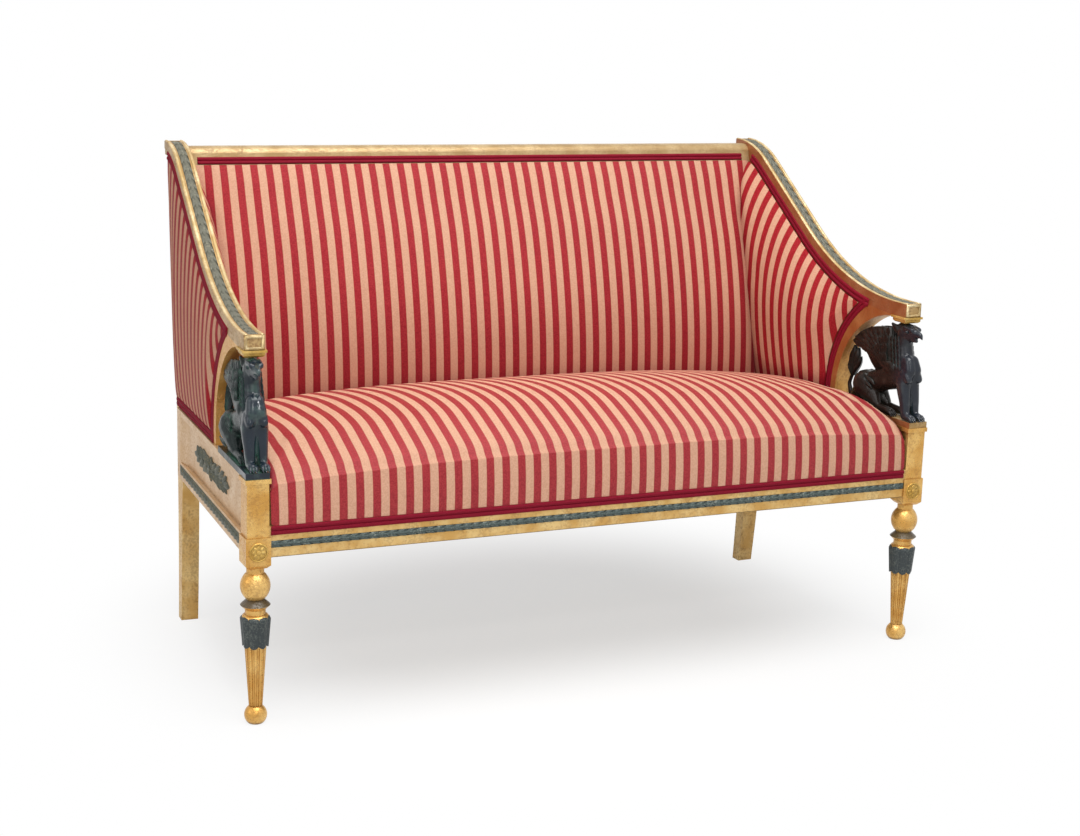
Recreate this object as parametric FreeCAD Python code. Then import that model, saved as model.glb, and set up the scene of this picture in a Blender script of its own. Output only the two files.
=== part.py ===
import FreeCAD
import Part
import os
from math import atan2, cos, degrees, pi, sin

# Giltwood canape with griffin arm supports, a sprung seat and an upholstered back and arms.
# Millimetres. X runs to the right as seen from the front, Y to the back, Z up.
# The origin is on the floor, under the middle of the whole settee.

os.makedirs("parts", exist_ok=True)
V = FreeCAD.Vector

# Overall sizes
HEIGHT = 930.0  # floor to the tops of the arm tails
DEPTH = 683.5  # front of the leg balls to the ends of the arm tails
FRONT_SPAN = 1304.0  # between the axes of the front legs
REAR_SPAN = 1253.0  # between the middles of the arms at their tails

# Clearances
CLEAR = 0.3  # around soft pieces and let-in strips
JOINT_CLEAR = 0.15  # around tenons, dowels and screws

# Levels of the seat frame
RAIL_BOTTOM = 297.0
RAIL_TOP = 432.0  # side rails and front posts
FRONT_RAIL_TOP = 405.0  # front and back rails, under the hessian

# Front legs, from the floor up
FOOT_H = 30.0
FOOT_D = 39.0
FOOT_PAD_D = 26.0
TAPER_LOW_D = 23.0
TAPER_HIGH_D = 37.0
FLUTES = 12
FLUTE_D = 5.0
COLLAR_H = 57.0
COLLAR_SHOULDER = 7.0  # rounded top of the leaf collar
COLLAR_LOW_D = 39.0
COLLAR_HIGH_D = 47.0
FILLET_H = 8.0
FILLET_D = 35.0
RING_H = 18.0
RING_D = 51.0
RING_EDGE = 8.0  # sharp edge above the foot of the ring
BALL_H = 46.0
BALL_D = 51.0
NECK_H = 10.0
NECK_D = 30.0
BLOCK_DROP = 20.0  # lower block below the rails
BLOCK_H = 54.0
BLOCK_W = 43.0
BLOCK_CHAMFER = 6.0
UPPER_BLOCK_W = 38.0
CORNICE_H = 8.0
CORNICE_W = 44.0

# Thickness of the side frames
FRAME_W = 33.0  # upholstered stretches
SHOW_W = 35.0  # gilded stretches
ARM_INSET = 3.5  # middle of the frame inside the axis of the front leg
SIDE_RAIL_FACE = 21.5  # outer face of a side rail from the middle of the frame
PANEL_SUNK = 9.0  # sunk panel in the outer face of a side rail
PANEL_LOW = 33.0  # above the rail's lower edge
PANEL_DROP = 11.0  # below the rail's top
PANEL_RAMP = 50.0  # sloped end of the panel, ahead of the rear post

# Arm rails
ARM_FRONT_TOP = 668.0
ARM_FRONT = 15.0  # end face behind the axis of the front leg
ARM_T = 26.0
ARM_FLAT = 30.0  # level stretch before the sweep
ARM_STRAIGHT = 224.0  # straight stretch of the sweep
ARM_TOP_R = 188.5
ARM_TAIL = 4.8  # level stretch at the back
ARM_SIDE_SHOW = 15.0  # gilded height of the sweep above the braid
ARM_TONGUE = 22.0  # tacking edge under the gilded rail

# Arches behind the griffins
ARCH_CENTRE = 45.0  # behind the axis of the front leg
ARCH_SPRING = 22.0  # centre above the side rail
ARCH_LEAD = 2.0  # wood left between the arch and the arm
ARCH_SHOW = 16.0  # gilded margin at the foot of the arch
ARCH_BRAID_LEAD = 22.0  # centre of the braid's curve ahead of the opening's, so the margin widens
ARCH_BACKING = 30.0  # board behind the upholstery

# Rear posts, measured back from the axis of the front leg
POST_FRONT = 526.0
POST_DEPTH = 46.0
REAR_FOOT_KICK = 30.0
REAR_FOOT_DEPTH = 25.0
REAR_ANKLE_DEPTH = 38.0
REAR_LEG_SAG = 2.0  # hollow of the sabre curve
ANKLE_DROP = 47.0  # where the sabre curve starts, below the rails
STILE_LEAN = 80.0  # from the seat rail to the arm
STILE_TOP_DEPTH = 29.0

# Rails across the settee
FRONT_RAIL_FACE = 18.5  # ahead of the leg axis
FRONT_RAIL_T = 30.0
FRONT_SHOW_H = 53.0  # gilded height of the front rail
REBATE = 9.0  # step back behind the seat's front border
BACK_RAIL_T = 38.0
BACK_RAIL_SETBACK = 8.0
CREST_DROP = 8.0  # below the arm tops
CREST_H = 72.0
CREST_SHOW_H = 19.0  # gilded height above the braid
CREST_ROUND = 12.0
LOWER_RAIL_LOW = 30.0  # above the side rails
LOWER_RAIL_H = 45.0
LOWER_RAIL_T = 24.0
BRACE_W = 40.0
BRACE_H = 28.0
BRACE_LIFT = 4.0

# Joints
TENON_L = 17.0
SIDE_TENON_L = 11.0  # stops short of the front rail's tenon
TENON_T = 11.0
TENON_EDGE = 12.0  # shoulder left above and below a tenon
BRACE_TENON = 10.0
DOWEL_D = 8.0
DOWEL_REACH = 13.0
CORNER_BLOCK = 62.0
CORNER_BLOCK_LIFT = 16.0
CORNER_BLOCK_H = 50.0
SCREW_D = 4.5
SCREW_HEAD_D = 9.0
SCREW_HEAD_H = 4.0
SCREW_L = 40.0
SCREW_BURY = 1.0  # of the head below the block's face

# Griffin, plinth and cap
PLINTH_T = 11.0
PLINTH_W = 41.0
PLINTH_FRONT = 20.5
PLINTH_L = 205.0
CAP_T = 12.0
CAP_W = 42.0
CAP_L = 45.0
CAP_LEAD = 3.0  # cap ahead of the arm's end face
CAP_SLAB = 4.0
CAP_STEP = 3.0
GRIFFIN_FRONT = 18.0  # paws ahead of the leg axis
GRIFFIN_W = 42.0

# Let-in laurel strips and applied ornaments
GROOVE = 3.0
STRIP_PROUD = 1.0
FRONT_LAUREL_LOW = 15.5  # above the rail's lower edge
FRONT_LAUREL_H = 12.0
SIDE_LAUREL_LOW = 10.0
SIDE_LAUREL_H = 18.0
ARM_LAUREL_W = 17.0
ARM_LAUREL_START = 6.0  # behind the arm's end face
ROSETTE_D = 34.0
ROSETTE_T = 3.5
ROSETTE_PETALS = 8
ROSETTE_DISC_T = 1.7
ROSETTE_PETAL_T = 2.6
ROSETTE_BOSS_D = 11.0
ROSETTE_BOSS_TOP_D = 7.0
ORNAMENT_L = 280.0
ORNAMENT_H = 36.0
ORNAMENT_T = 4.0
ORNAMENT_MIDDLE = 285.0  # behind the axis of the front leg
ORNAMENT_DROP = 57.0  # below the rail's top
ORNAMENT_LEAVES = 4  # on each side of the middle
ORNAMENT_STEM_T = 2.4
ORNAMENT_STEM_H = 6.0
ORNAMENT_LEAF_T = 3.2
LEAF_SWELL = 0.22  # half width of a leaf, as a share of its length

# Upholstery
COVER_T = 1.5
BRAID_W = 16.0  # along the seat
BACK_BRAID_W = 14.0
ARM_BRAID_W = 18.0
BRAID_T = 3.0
BRAID_EDGE_T = 1.5
BRAID_HOLLOW_T = 1.8  # between the two ridges
HESSIAN_T = 1.5
WEB_T = 1.5
WEB_W = 50.0
SEAT_BORDER_LEAN = 6.5
SEAT_EDGE_Z = 437.0  # bend between front border and seat, in the middle
SEAT_EDGE_FALL = 19.5
SEAT_CROWN_Z = 503.0
SEAT_CROWN_FALL = 44.0
SEAT_CROWN_AT = 210.0  # behind the axis of the front leg
SEAT_BACK_Z = 462.0
SEAT_BACK_FALL = 33.0
SEAT_FALL_POWER = 3.2
SEAT_SWELL_AT = 0.42  # where the seat is fullest, as a share of the way from the bend to the crown
SEAT_FRONT_SWELL = 0.36  # fullness there, as a share of the rise
SEAT_BACK_SWELL = 0.22  # fullness behind the crown, as a share of the fall
BACK_PAD_TOP_T = 3.0
BACK_PAD_MIDDLE_T = 64.0
BACK_PAD_LOW_T = 58.0
BACK_PAD_END_LOSS = 34.0
ARM_PAD_RIM_T = 2.5
ARM_PAD_CROWN = 32.0
ARM_PAD_SPREAD = 190.0  # from the crown to where it meets the rim
ARM_PAD_LIFT = 32.0  # crown above the middle of the panel's front
OUTER_COVER_T = 2.5
BACK_COVER_DROP = 3.0  # outer back cover below the arm tails
DUST_COVER_T = 1.2
SPRING_ROWS = 3
SPRING_COLUMNS = 8
SPRING_D = 76.0
SPRING_WAIST_D = 52.0
SPRING_WIRE = 3.5
SEAT_WEBS_ALONG = 4
SEAT_WEBS_ACROSS = 9
BACK_WEBS_UP = 9
BACK_WEBS_ALONG = 2

# Derived places
FRONT_Y = -DEPTH / 2 + BALL_D / 2
ARM_X = FRONT_SPAN / 2 - ARM_INSET
SPLAY = atan2(ARM_X - REAR_SPAN / 2, DEPTH / 2 - FRONT_Y)
ARM_END = (DEPTH / 2 - FRONT_Y - SHOW_W / 2 * sin(SPLAY)) / cos(SPLAY)
SWEEP_START = ARM_FRONT + ARM_FLAT
SWEEP_END = ARM_END - ARM_TAIL
SWEEP_RUN = SWEEP_END - SWEEP_START
SWEEP_RISE = HEIGHT - ARM_FRONT_TOP
SWEEP_RADII = (SWEEP_RUN ** 2 + SWEEP_RISE ** 2 - ARM_STRAIGHT ** 2) / (2 * SWEEP_RISE)
ARM_SWEEP_R = SWEEP_RADII - ARM_TOP_R
SWEEP_PITCH = 2 * atan2(SWEEP_RISE, SWEEP_RUN + ARM_STRAIGHT)
CAP_BOTTOM = ARM_FRONT_TOP - ARM_T - CAP_T
CAP_FRONT = ARM_FRONT - CAP_LEAD
PLINTH_TOP = RAIL_TOP + PLINTH_T
ARCH_Z = RAIL_TOP + ARCH_SPRING
ARCH_R = ARM_FRONT_TOP - ARM_T - ARCH_LEAD - ARCH_Z
BRAID_CENTRE = ARCH_CENTRE - ARCH_BRAID_LEAD
ARCH_BRAID_R = ARCH_R + ARCH_SHOW + ARCH_BRAID_LEAD
PAD_R = ARCH_BRAID_R + ARM_BRAID_W
PAD_DROP = ARM_SIDE_SHOW + ARM_BRAID_W
PANEL_FACE = SIDE_RAIL_FACE - PANEL_SUNK
BLOCK_BOTTOM = RAIL_BOTTOM - BLOCK_DROP
STILE_TOP = HEIGHT - ARM_T
STILE_RAKE = STILE_LEAN / (STILE_TOP - RAIL_TOP)
SEAT_SIDE = -max(FRAME_W / 2 + HESSIAN_T + ARM_PAD_RIM_T, CORNICE_W / 2, GRIFFIN_W / 2) - CLEAR
HESSIAN_TOP = FRONT_RAIL_TOP + HESSIAN_T
BRAID_LOW = RAIL_BOTTOM + FRONT_SHOW_H - BRAID_W
CREST_LOW = HEIGHT - CREST_DROP - CREST_H
CREST_TOP = HEIGHT - CREST_DROP
BACK_PAD_TOP = CREST_TOP - CREST_SHOW_H - BACK_BRAID_W - CLEAR
GRIFFIN_LENGTH = ARCH_CENTRE + ARCH_R + GRIFFIN_FRONT
GRIFFIN_HEIGHT = CAP_BOTTOM - PLINTH_TOP
FAR = 2000.0  # longer than the settee, for cutting tools

pieces = {}


def box(low, high):
    """Box between two opposite corners."""
    size = V(*high) - V(*low)
    return Part.makeBox(size.x, size.y, size.z, V(*low))


def arc(start, middle, end):
    return Part.Arc(start, middle, end).toShape()


def line(start, end):
    return Part.LineSegment(start, end).toShape()


def closed_wire(corners):
    return Part.makePolygon(list(corners) + [corners[0]])


def wire_of(edges):
    return Part.Wire(Part.sortEdges(edges)[0])


def prism(wire, along):
    return Part.Face(wire).extrude(along)


def fused(shapes):
    first = shapes[0]
    if len(shapes) == 1:
        return first
    return first.multiFuse(shapes[1:]).removeSplitter()


def cut(shape, *tools):
    for tool in tools:
        shape = shape.cut(tool)
    return shape


def largest(shape):
    return max(shape.Solids, key=lambda solid: solid.Volume)


def side_point(offset, back, z):
    """Point of a side frame: outward offset from its middle, distance behind the leg axis, height."""
    return V(offset, back, z)


def to_right(shape):
    """Turn a side frame to its splay and set it on the right."""
    placed = shape.copy()
    placed.rotate(V(0, 0, 0), V(0, 0, 1), degrees(SPLAY))
    placed.translate(V(ARM_X, FRONT_Y, 0))
    return placed


def plan(offset, back):
    """Place on the right side frame as seen from above."""
    x = ARM_X + offset * cos(SPLAY) - back * sin(SPLAY)
    y = FRONT_Y + offset * sin(SPLAY) + back * cos(SPLAY)
    return x, y


def mirrored(shape):
    return shape.mirror(V(0, 0, 0), V(1, 0, 0))


def both(shape):
    """A right-hand shape together with its mirror image."""
    return [shape, mirrored(shape)]


def add(name, shape):
    pieces[name] = shape


def add_pair(name, shape):
    add(name + "_right", shape)
    add(name + "_left", mirrored(shape))


# Lines of the side frame
def arm_edges(drop, start, end, offset):
    """Top line of the arm moved down by drop, between two distances behind the leg axis."""
    sweep_centre = (SWEEP_START, ARM_FRONT_TOP + ARM_SWEEP_R)
    crown_centre = (SWEEP_END, HEIGHT - ARM_TOP_R)
    sweep_r = ARM_SWEEP_R + drop
    crown_r = ARM_TOP_R - drop

    def on_sweep(angle):
        back, z = sweep_centre
        return side_point(offset, back + sweep_r * sin(angle), z - sweep_r * cos(angle))

    def on_crown(angle):
        back, z = crown_centre
        return side_point(offset, back - crown_r * sin(angle), z + crown_r * cos(angle))

    return [
        line(side_point(offset, start, ARM_FRONT_TOP - drop), on_sweep(0)),
        arc(on_sweep(0), on_sweep(SWEEP_PITCH / 2), on_sweep(SWEEP_PITCH)),
        line(on_sweep(SWEEP_PITCH), on_crown(SWEEP_PITCH)),
        arc(on_crown(SWEEP_PITCH), on_crown(SWEEP_PITCH / 2), on_crown(0)),
        line(on_crown(0), side_point(offset, end, HEIGHT - drop)),
    ]


def arm_band(top_drop, low_drop, width):
    """Solid between two lines parallel to the arm's top, from its end face to its tail."""
    offset = -width / 2
    ends = [
        line(side_point(offset, x, z - top_drop), side_point(offset, x, z - low_drop))
        for x, z in ((ARM_FRONT, ARM_FRONT_TOP), (ARM_END, HEIGHT))
    ]
    upper = arm_edges(top_drop, ARM_FRONT, ARM_END, offset)
    lower = arm_edges(low_drop, ARM_FRONT, ARM_END, offset)
    return prism(wire_of(upper + lower + ends), V(width, 0, 0))


def under_arm(drop, floor, low, high):
    """Everything below a line parallel to the arm's top, down to a level, between two offsets."""
    start = side_point(low, ARM_FRONT, floor)
    end = side_point(low, ARM_END, floor)
    edges = arm_edges(drop, ARM_FRONT, ARM_END, low)
    edges += [
        line(side_point(low, ARM_FRONT, ARM_FRONT_TOP - drop), start),
        line(start, end),
        line(end, side_point(low, ARM_END, HEIGHT - drop)),
    ]
    return prism(wire_of(edges), V(high - low, 0, 0))


def arch_space(radius, centre):
    """Space ahead of an arch of this radius and centre, down to the floor behind it."""
    low, high = -FAR / 2, FAR / 2
    round_part = Part.makeCylinder(radius, high - low, side_point(low, centre, ARCH_Z), V(1, 0, 0))
    straight = box((low, centre, 0), (high, centre + radius, ARCH_Z))
    ahead = box((low, -FAR, 0), (high, centre, ARCH_Z + radius))
    return fused([round_part, straight, ahead])


def opening():
    return arch_space(ARCH_R, ARCH_CENTRE)


def ahead_of_braid():
    return arch_space(ARCH_BRAID_R, BRAID_CENTRE)


def arm_panel(drop, radius, floor, low, high):
    """Outline of an upholstered arm panel, under the arm and behind the arch, between two offsets."""
    return cut(under_arm(drop, floor, low, high), arch_space(radius, BRAID_CENTRE))


def stile_front(z):
    return POST_FRONT + max(0, z - RAIL_TOP) * STILE_RAKE


def stile_back(z):
    seat_back = POST_FRONT + POST_DEPTH
    top_back = POST_FRONT + STILE_LEAN + STILE_TOP_DEPTH
    return seat_back + max(0, z - FRONT_RAIL_TOP) * (top_back - seat_back) / (STILE_TOP - FRONT_RAIL_TOP)


def back_plane(z):
    """Y of the plane in front of both stiles, where the back's webbing is tacked."""
    return FRONT_Y + stile_front(z) * cos(SPLAY) - FRAME_W / 2 * sin(SPLAY)


def back_face(z):
    """Y of the plane behind both stiles."""
    return FRONT_Y + stile_back(z) * cos(SPLAY) + FRAME_W / 2 * sin(SPLAY)


# Front legs
def front_leg():
    """Turned leg with a fluted taper, leaf collar, ring, ball and two square blocks."""
    z_neck = BLOCK_BOTTOM - NECK_H
    z_ball = z_neck - BALL_H
    z_ring = z_ball - RING_H
    z_fillet = z_ring - FILLET_H
    z_collar = z_fillet - COLLAR_H
    z_shoulder = z_fillet - COLLAR_SHOULDER
    z_bend = z_fillet - COLLAR_SHOULDER / 3
    shoulder_d = FILLET_D + (COLLAR_HIGH_D - FILLET_D) * 2 / 3

    def at(diameter, z):
        return V(diameter / 2, 0, z)

    profile = [
        line(V(0, 0, 0), at(FOOT_PAD_D, 0)),
        arc(at(FOOT_PAD_D, 0), at(FOOT_D, FOOT_H / 2), at(TAPER_LOW_D, FOOT_H)),
        line(at(TAPER_LOW_D, FOOT_H), at(TAPER_HIGH_D, z_collar)),
        line(at(TAPER_HIGH_D, z_collar), at(COLLAR_LOW_D, z_collar)),
        line(at(COLLAR_LOW_D, z_collar), at(COLLAR_HIGH_D, z_shoulder)),
        arc(at(COLLAR_HIGH_D, z_shoulder), at(shoulder_d, z_bend), at(FILLET_D, z_fillet)),
        line(at(FILLET_D, z_fillet), at(FILLET_D, z_ring)),
        line(at(FILLET_D, z_ring), at(RING_D, z_ring + RING_EDGE)),
        line(at(RING_D, z_ring + RING_EDGE), at(NECK_D, z_ball)),
        arc(at(NECK_D, z_ball), at(BALL_D, z_ball + BALL_H / 2), at(NECK_D, z_neck)),
        line(at(NECK_D, z_neck), at(NECK_D, BLOCK_BOTTOM)),
        line(at(NECK_D, BLOCK_BOTTOM), V(0, 0, BLOCK_BOTTOM)),
        line(V(0, 0, BLOCK_BOTTOM), V(0, 0, 0)),
    ]
    turned = Part.Face(Part.Wire(profile)).revolve(V(0, 0, 0), V(0, 0, 1), 360)
    return fused([cut(turned, flutes(z_collar)), post_blocks()])


def flutes(z_top):
    """Round-bottomed flutes down the taper, leaning with it."""
    run = z_top - FOOT_H
    lean = atan2((TAPER_HIGH_D - TAPER_LOW_D) / 2, run)
    foot = V(TAPER_LOW_D / 2, 0, FOOT_H)
    flute = Part.makeCylinder(FLUTE_D / 2, run / cos(lean), foot, V(sin(lean), 0, cos(lean)))
    copies = []
    for index in range(FLUTES):
        copy = flute.copy()
        copy.rotate(V(0, 0, 0), V(0, 0, 1), 360 * index / FLUTES)
        copies.append(copy)
    return Part.makeCompound(copies)


def square_block(width, low, high):
    return box((-width / 2, -width / 2, low), (width / 2, width / 2, high))


def post_blocks():
    """Lower block with chamfered foot, plain upper block and its cornice."""
    split = BLOCK_BOTTOM + BLOCK_H
    lower = square_block(BLOCK_W, BLOCK_BOTTOM, split)
    foot_edges = [edge for edge in lower.Edges if edge.BoundBox.ZMax < split - BLOCK_H / 2]
    lower = lower.makeChamfer(BLOCK_CHAMFER, foot_edges)
    upper = square_block(UPPER_BLOCK_W, split, RAIL_TOP)
    cornice = square_block(CORNICE_W, RAIL_TOP - CORNICE_H, RAIL_TOP)
    return fused([lower, upper, cornice])


def leg_in_place():
    leg = front_leg()
    leg.translate(V(FRONT_SPAN / 2, FRONT_Y, 0))
    return leg


def rosette():
    """Carved flower on the front of the lower block: petals round a boss, on a thin disc."""
    radius = ROSETTE_D / 2
    forward = V(0, -1, 0)
    petal_r = radius * sin(pi / ROSETTE_PETALS)
    disc = Part.makeCylinder(radius - petal_r / 2, ROSETTE_DISC_T, V(0, 0, 0), forward)
    petals = []
    for index in range(ROSETTE_PETALS):
        angle = 2 * pi * index / ROSETTE_PETALS
        place = V((radius - petal_r) * cos(angle), 0, (radius - petal_r) * sin(angle))
        petals.append(Part.makeCylinder(petal_r - CLEAR, ROSETTE_PETAL_T, place, forward))
    boss = Part.makeCone(ROSETTE_BOSS_D / 2, ROSETTE_BOSS_TOP_D / 2, ROSETTE_T, V(0, 0, 0), forward)
    flower = fused([disc] + petals + [boss])
    block_middle = BLOCK_BOTTOM + BLOCK_CHAMFER + (BLOCK_H - BLOCK_CHAMFER) / 2
    flower.translate(V(FRONT_SPAN / 2, FRONT_Y - BLOCK_W / 2, block_middle))
    return flower


# Rear posts
def rear_post_blank():
    """Sabre leg and raked stile in one board, run up into the arm."""
    low = -FRAME_W / 2
    ankle = RAIL_BOTTOM - ANKLE_DROP
    foot_front = POST_FRONT + REAR_FOOT_KICK
    foot_back = foot_front + REAR_FOOT_DEPTH
    ankle_back = stile_back(0)
    ankle_front = ankle_back - REAR_ANKLE_DEPTH
    into_arm = HEIGHT - ARM_T / 2

    def at(back, z):
        return side_point(low, back, z)

    def hollow(foot, top):
        return at((foot + top) / 2 - REAR_LEG_SAG, ankle / 2)

    edges = [
        line(at(foot_front, 0), at(foot_back, 0)),
        arc(at(foot_back, 0), hollow(foot_back, ankle_back), at(ankle_back, ankle)),
        line(at(ankle_back, ankle), at(ankle_back, FRONT_RAIL_TOP)),
        line(at(ankle_back, FRONT_RAIL_TOP), at(stile_back(into_arm), into_arm)),
        line(at(stile_back(into_arm), into_arm), at(stile_front(into_arm), into_arm)),
        line(at(stile_front(into_arm), into_arm), at(POST_FRONT, RAIL_TOP)),
        line(at(POST_FRONT, RAIL_TOP), at(POST_FRONT, RAIL_BOTTOM)),
        line(at(POST_FRONT, RAIL_BOTTOM), at(ankle_front, ankle)),
        arc(at(ankle_front, ankle), hollow(foot_front, ankle_front), at(foot_front, 0)),
    ]
    return prism(wire_of(edges), V(FRAME_W, 0, 0))


# Arm rails, arches and their dowels
def arm_rail(post):
    """Gilded rail with a deep end block, a tacking tongue below and a groove for the laurel band."""
    show = arm_band(0, ARM_SIDE_SHOW, SHOW_W)
    core = arm_band(ARM_SIDE_SHOW, ARM_T, FRAME_W)
    end_block = arm_band(ARM_SIDE_SHOW, ARM_T, SHOW_W).common(ahead_of_braid())
    tongue = cut(arm_band(ARM_T, ARM_T + ARM_TONGUE, FRAME_W), ahead_of_braid(), post)
    rail = fused([show, core, end_block, largest(tongue)])
    return cut(rail, laurel_on_arm(GROOVE, 0, 0))


def laurel_on_arm(depth, proud, clear):
    """Strip let into the arm's top, from behind the end block to the tail."""
    start = ARM_FRONT + ARM_LAUREL_START
    end = ARM_END - ARM_LAUREL_START
    width = ARM_LAUREL_W - 2 * clear
    strip = arm_band(-proud, depth, width)
    keep = box((-width, start + clear, 0), (width, end - clear, FAR))
    return strip.common(keep)


def arm_arch(rail):
    """Quarter-round board from the side rail up to the arm, with a gilded margin."""
    behind_cap = CAP_FRONT + CAP_L + CLEAR
    ahead = box((-FAR, -FAR, 0), (FAR, behind_cap, FAR))
    margin = under_arm(ARM_T, RAIL_TOP, -SHOW_W / 2, SHOW_W / 2).common(ahead_of_braid())
    backing = under_arm(ARM_T, RAIL_TOP, -FRAME_W / 2, FRAME_W / 2)
    backing = backing.common(arch_space(ARCH_BRAID_R + ARCH_BACKING, BRAID_CENTRE))
    return largest(cut(fused([margin, backing]), opening(), ahead, rail))


def dowel(back, z, clear=0):
    """Upright dowel across a joint at a height on the middle of the side frame."""
    radius = DOWEL_D / 2 + clear
    reach = DOWEL_REACH + clear
    return Part.makeCylinder(radius, 2 * reach, side_point(0, back, z - reach), V(0, 0, 1))


def frame_dowel_places():
    """Where upright dowels cross the joints of arch, arm and stile."""
    arch_foot = (ARCH_CENTRE + ARCH_R + (ARCH_SHOW + ARCH_BACKING) / 2, RAIL_TOP)
    stile_head = ((stile_front(STILE_TOP) + stile_back(STILE_TOP)) / 2, STILE_TOP)
    return [arch_foot, stile_head]


def griffin_dowel_places():
    """Where upright dowels cross plinth and cap."""
    post_top = (0, RAIL_TOP + PLINTH_T - DOWEL_REACH - CLEAR)
    haunch = (ARCH_CENTRE + ARCH_R / 2, RAIL_TOP + PLINTH_T / 2)
    head = (CAP_FRONT + CAP_L / 2, CAP_BOTTOM + CAP_T / 2)
    return [post_top, haunch, head]


def dowels(places, clear=0):
    return Part.makeCompound([dowel(back, z, clear) for back, z in places])


# Griffins
def carved(depth, height, across=0.0):
    """Point of the carving: shares of its length and height, and of half its width."""
    return side_point(across * GRIFFIN_W / 2, depth * GRIFFIN_LENGTH - GRIFFIN_FRONT,
                      PLINTH_TOP + height * GRIFFIN_HEIGHT)


def limb(stations):
    """Round limb through stations of depth, height, place across and radius."""
    balls = []
    for depth, height, across, radius in stations:
        balls.append((carved(depth, height, across), radius * GRIFFIN_HEIGHT))
    shapes = [Part.makeSphere(radius, centre) for centre, radius in balls]
    for (start, r_start), (end, r_end) in zip(balls, balls[1:]):
        along = end - start
        if abs(r_start - r_end) < 1e-6:
            shapes.append(Part.makeCylinder(r_start, along.Length, start, along))
        else:
            shapes.append(Part.makeCone(r_start, r_end, along.Length, start, along))
    return shapes


def plate(outline, inner, outer):
    """Flat carved plate from an outline of depth and height, between two places across."""
    corners = [carved(depth, height, inner) for depth, height in outline]
    thickness = (outer - inner) * GRIFFIN_W / 2
    return prism(closed_wire(corners), V(thickness, 0, 0))


def griffin_middle():
    """Body, neck, beaked head and tail on the middle line."""
    chest = (0.17, 0.44, 0, 0.105)
    skull = (0.205, 0.89, 0, 0.092)
    body = limb([chest, (0.30, 0.45, 0, 0.100), (0.49, 0.31, 0, 0.105), (0.63, 0.18, 0, 0.110)])
    neck = limb([chest, (0.20, 0.58, 0, 0.090), (0.235, 0.74, 0, 0.080), skull])
    beak = limb([skull, (0.115, 0.90, 0, 0.050), (0.045, 0.87, 0, 0.026), (0.045, 0.83, 0, 0.012)])
    crown = limb([skull, (0.235, 0.97, 0, 0.075)])
    tail = limb([
        (0.66, 0.07, 0, 0.050), (0.80, 0.05, 0, 0.034), (0.90, 0.12, 0, 0.028), (0.93, 0.26, 0, 0.026),
    ])
    tuft = [
        (0.91, 0.24), (0.84, 0.40), (0.85, 0.54), (0.90, 0.63), (0.98, 0.60), (1.0, 0.40), (0.97, 0.26),
    ]
    return body + neck + beak + crown + tail + [plate(tuft, -0.25, 0.25)]


def griffin_side(side):
    """Foreleg, hind leg, ear and wing of one side."""
    fore = side * 0.48
    hind = side * 0.62
    foreleg = limb([(0.16, 0.40, fore, 0.068), (0.125, 0.21, fore, 0.052), (0.11, 0.09, fore, 0.046)])
    forepaw = limb([(0.11, 0.05, fore, 0.050), (0.045, 0.04, fore, 0.042)])
    hind_paw = limb([(0.56, 0.06, hind, 0.055), (0.27, 0.045, hind, 0.042)])
    thigh = limb([(0.60, 0.18, side * 0.35, 0.155), (0.44, 0.11, hind, 0.060)])
    ear = limb([(0.235, 0.93, side * 0.45, 0.045), (0.265, 0.985, side * 0.75, 0.016)])
    wing_outline = [
        (0.25, 0.40), (0.28, 0.66), (0.31, 0.84), (0.37, 0.89), (0.47, 0.88), (0.60, 0.83), (0.77, 0.69),
        (0.66, 0.64), (0.61, 0.62), (0.57, 0.56), (0.49, 0.53), (0.46, 0.45), (0.40, 0.38),
    ]
    near, far = sorted((side * 0.55, side * 0.95))
    return foreleg + forepaw + hind_paw + thigh + ear + [plate(wing_outline, near, far)]


def griffin():
    """Seated griffin, cut flat on its plinth and under its cap, with its tail against the arch."""
    carving = fused(griffin_middle() + griffin_side(1) + griffin_side(-1))
    half = GRIFFIN_W / 2
    room = arch_space(ARCH_R - CLEAR, ARCH_CENTRE)
    room = room.common(box((-half, -FAR, PLINTH_TOP), (half, FAR, CAP_BOTTOM)))
    return largest(carving.common(room))


def griffin_plinth():
    """Thin board under the griffin, centred on the front post."""
    low = ARM_INSET - PLINTH_W / 2
    return box((low, -PLINTH_FRONT, RAIL_TOP), (low + PLINTH_W, PLINTH_L - PLINTH_FRONT, PLINTH_TOP))


def arm_cap():
    """Square cap between the griffin's head and the arm: a thin slab over a block with a bevelled foot."""
    top = CAP_BOTTOM + CAP_T
    under_slab = top - CAP_SLAB

    def step(inset, low, high):
        half = CAP_W / 2 - inset
        return box((-half, CAP_FRONT + inset, low), (half, CAP_FRONT + CAP_L - inset, high))

    block = step(CAP_STEP, CAP_BOTTOM, under_slab)
    foot_edges = [edge for edge in block.Edges if edge.BoundBox.ZMax < CAP_BOTTOM + CAP_STEP]
    return fused([step(0, under_slab, top), block.makeChamfer(CAP_STEP, foot_edges)])


# Side rails
def side_rail_blank():
    """Board from inside the front post to inside the rear post, before it is cut to its shoulders."""
    start = (FRONT_RAIL_T - FRONT_RAIL_FACE + UPPER_BLOCK_W / 2) / 2
    rail = box((-FRAME_W / 2, start, RAIL_BOTTOM), (SIDE_RAIL_FACE, POST_FRONT + POST_DEPTH / 2, RAIL_TOP))
    return cut(rail, sunk_panel(), laurel_on_side(GROOVE, 0, 0))


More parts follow.
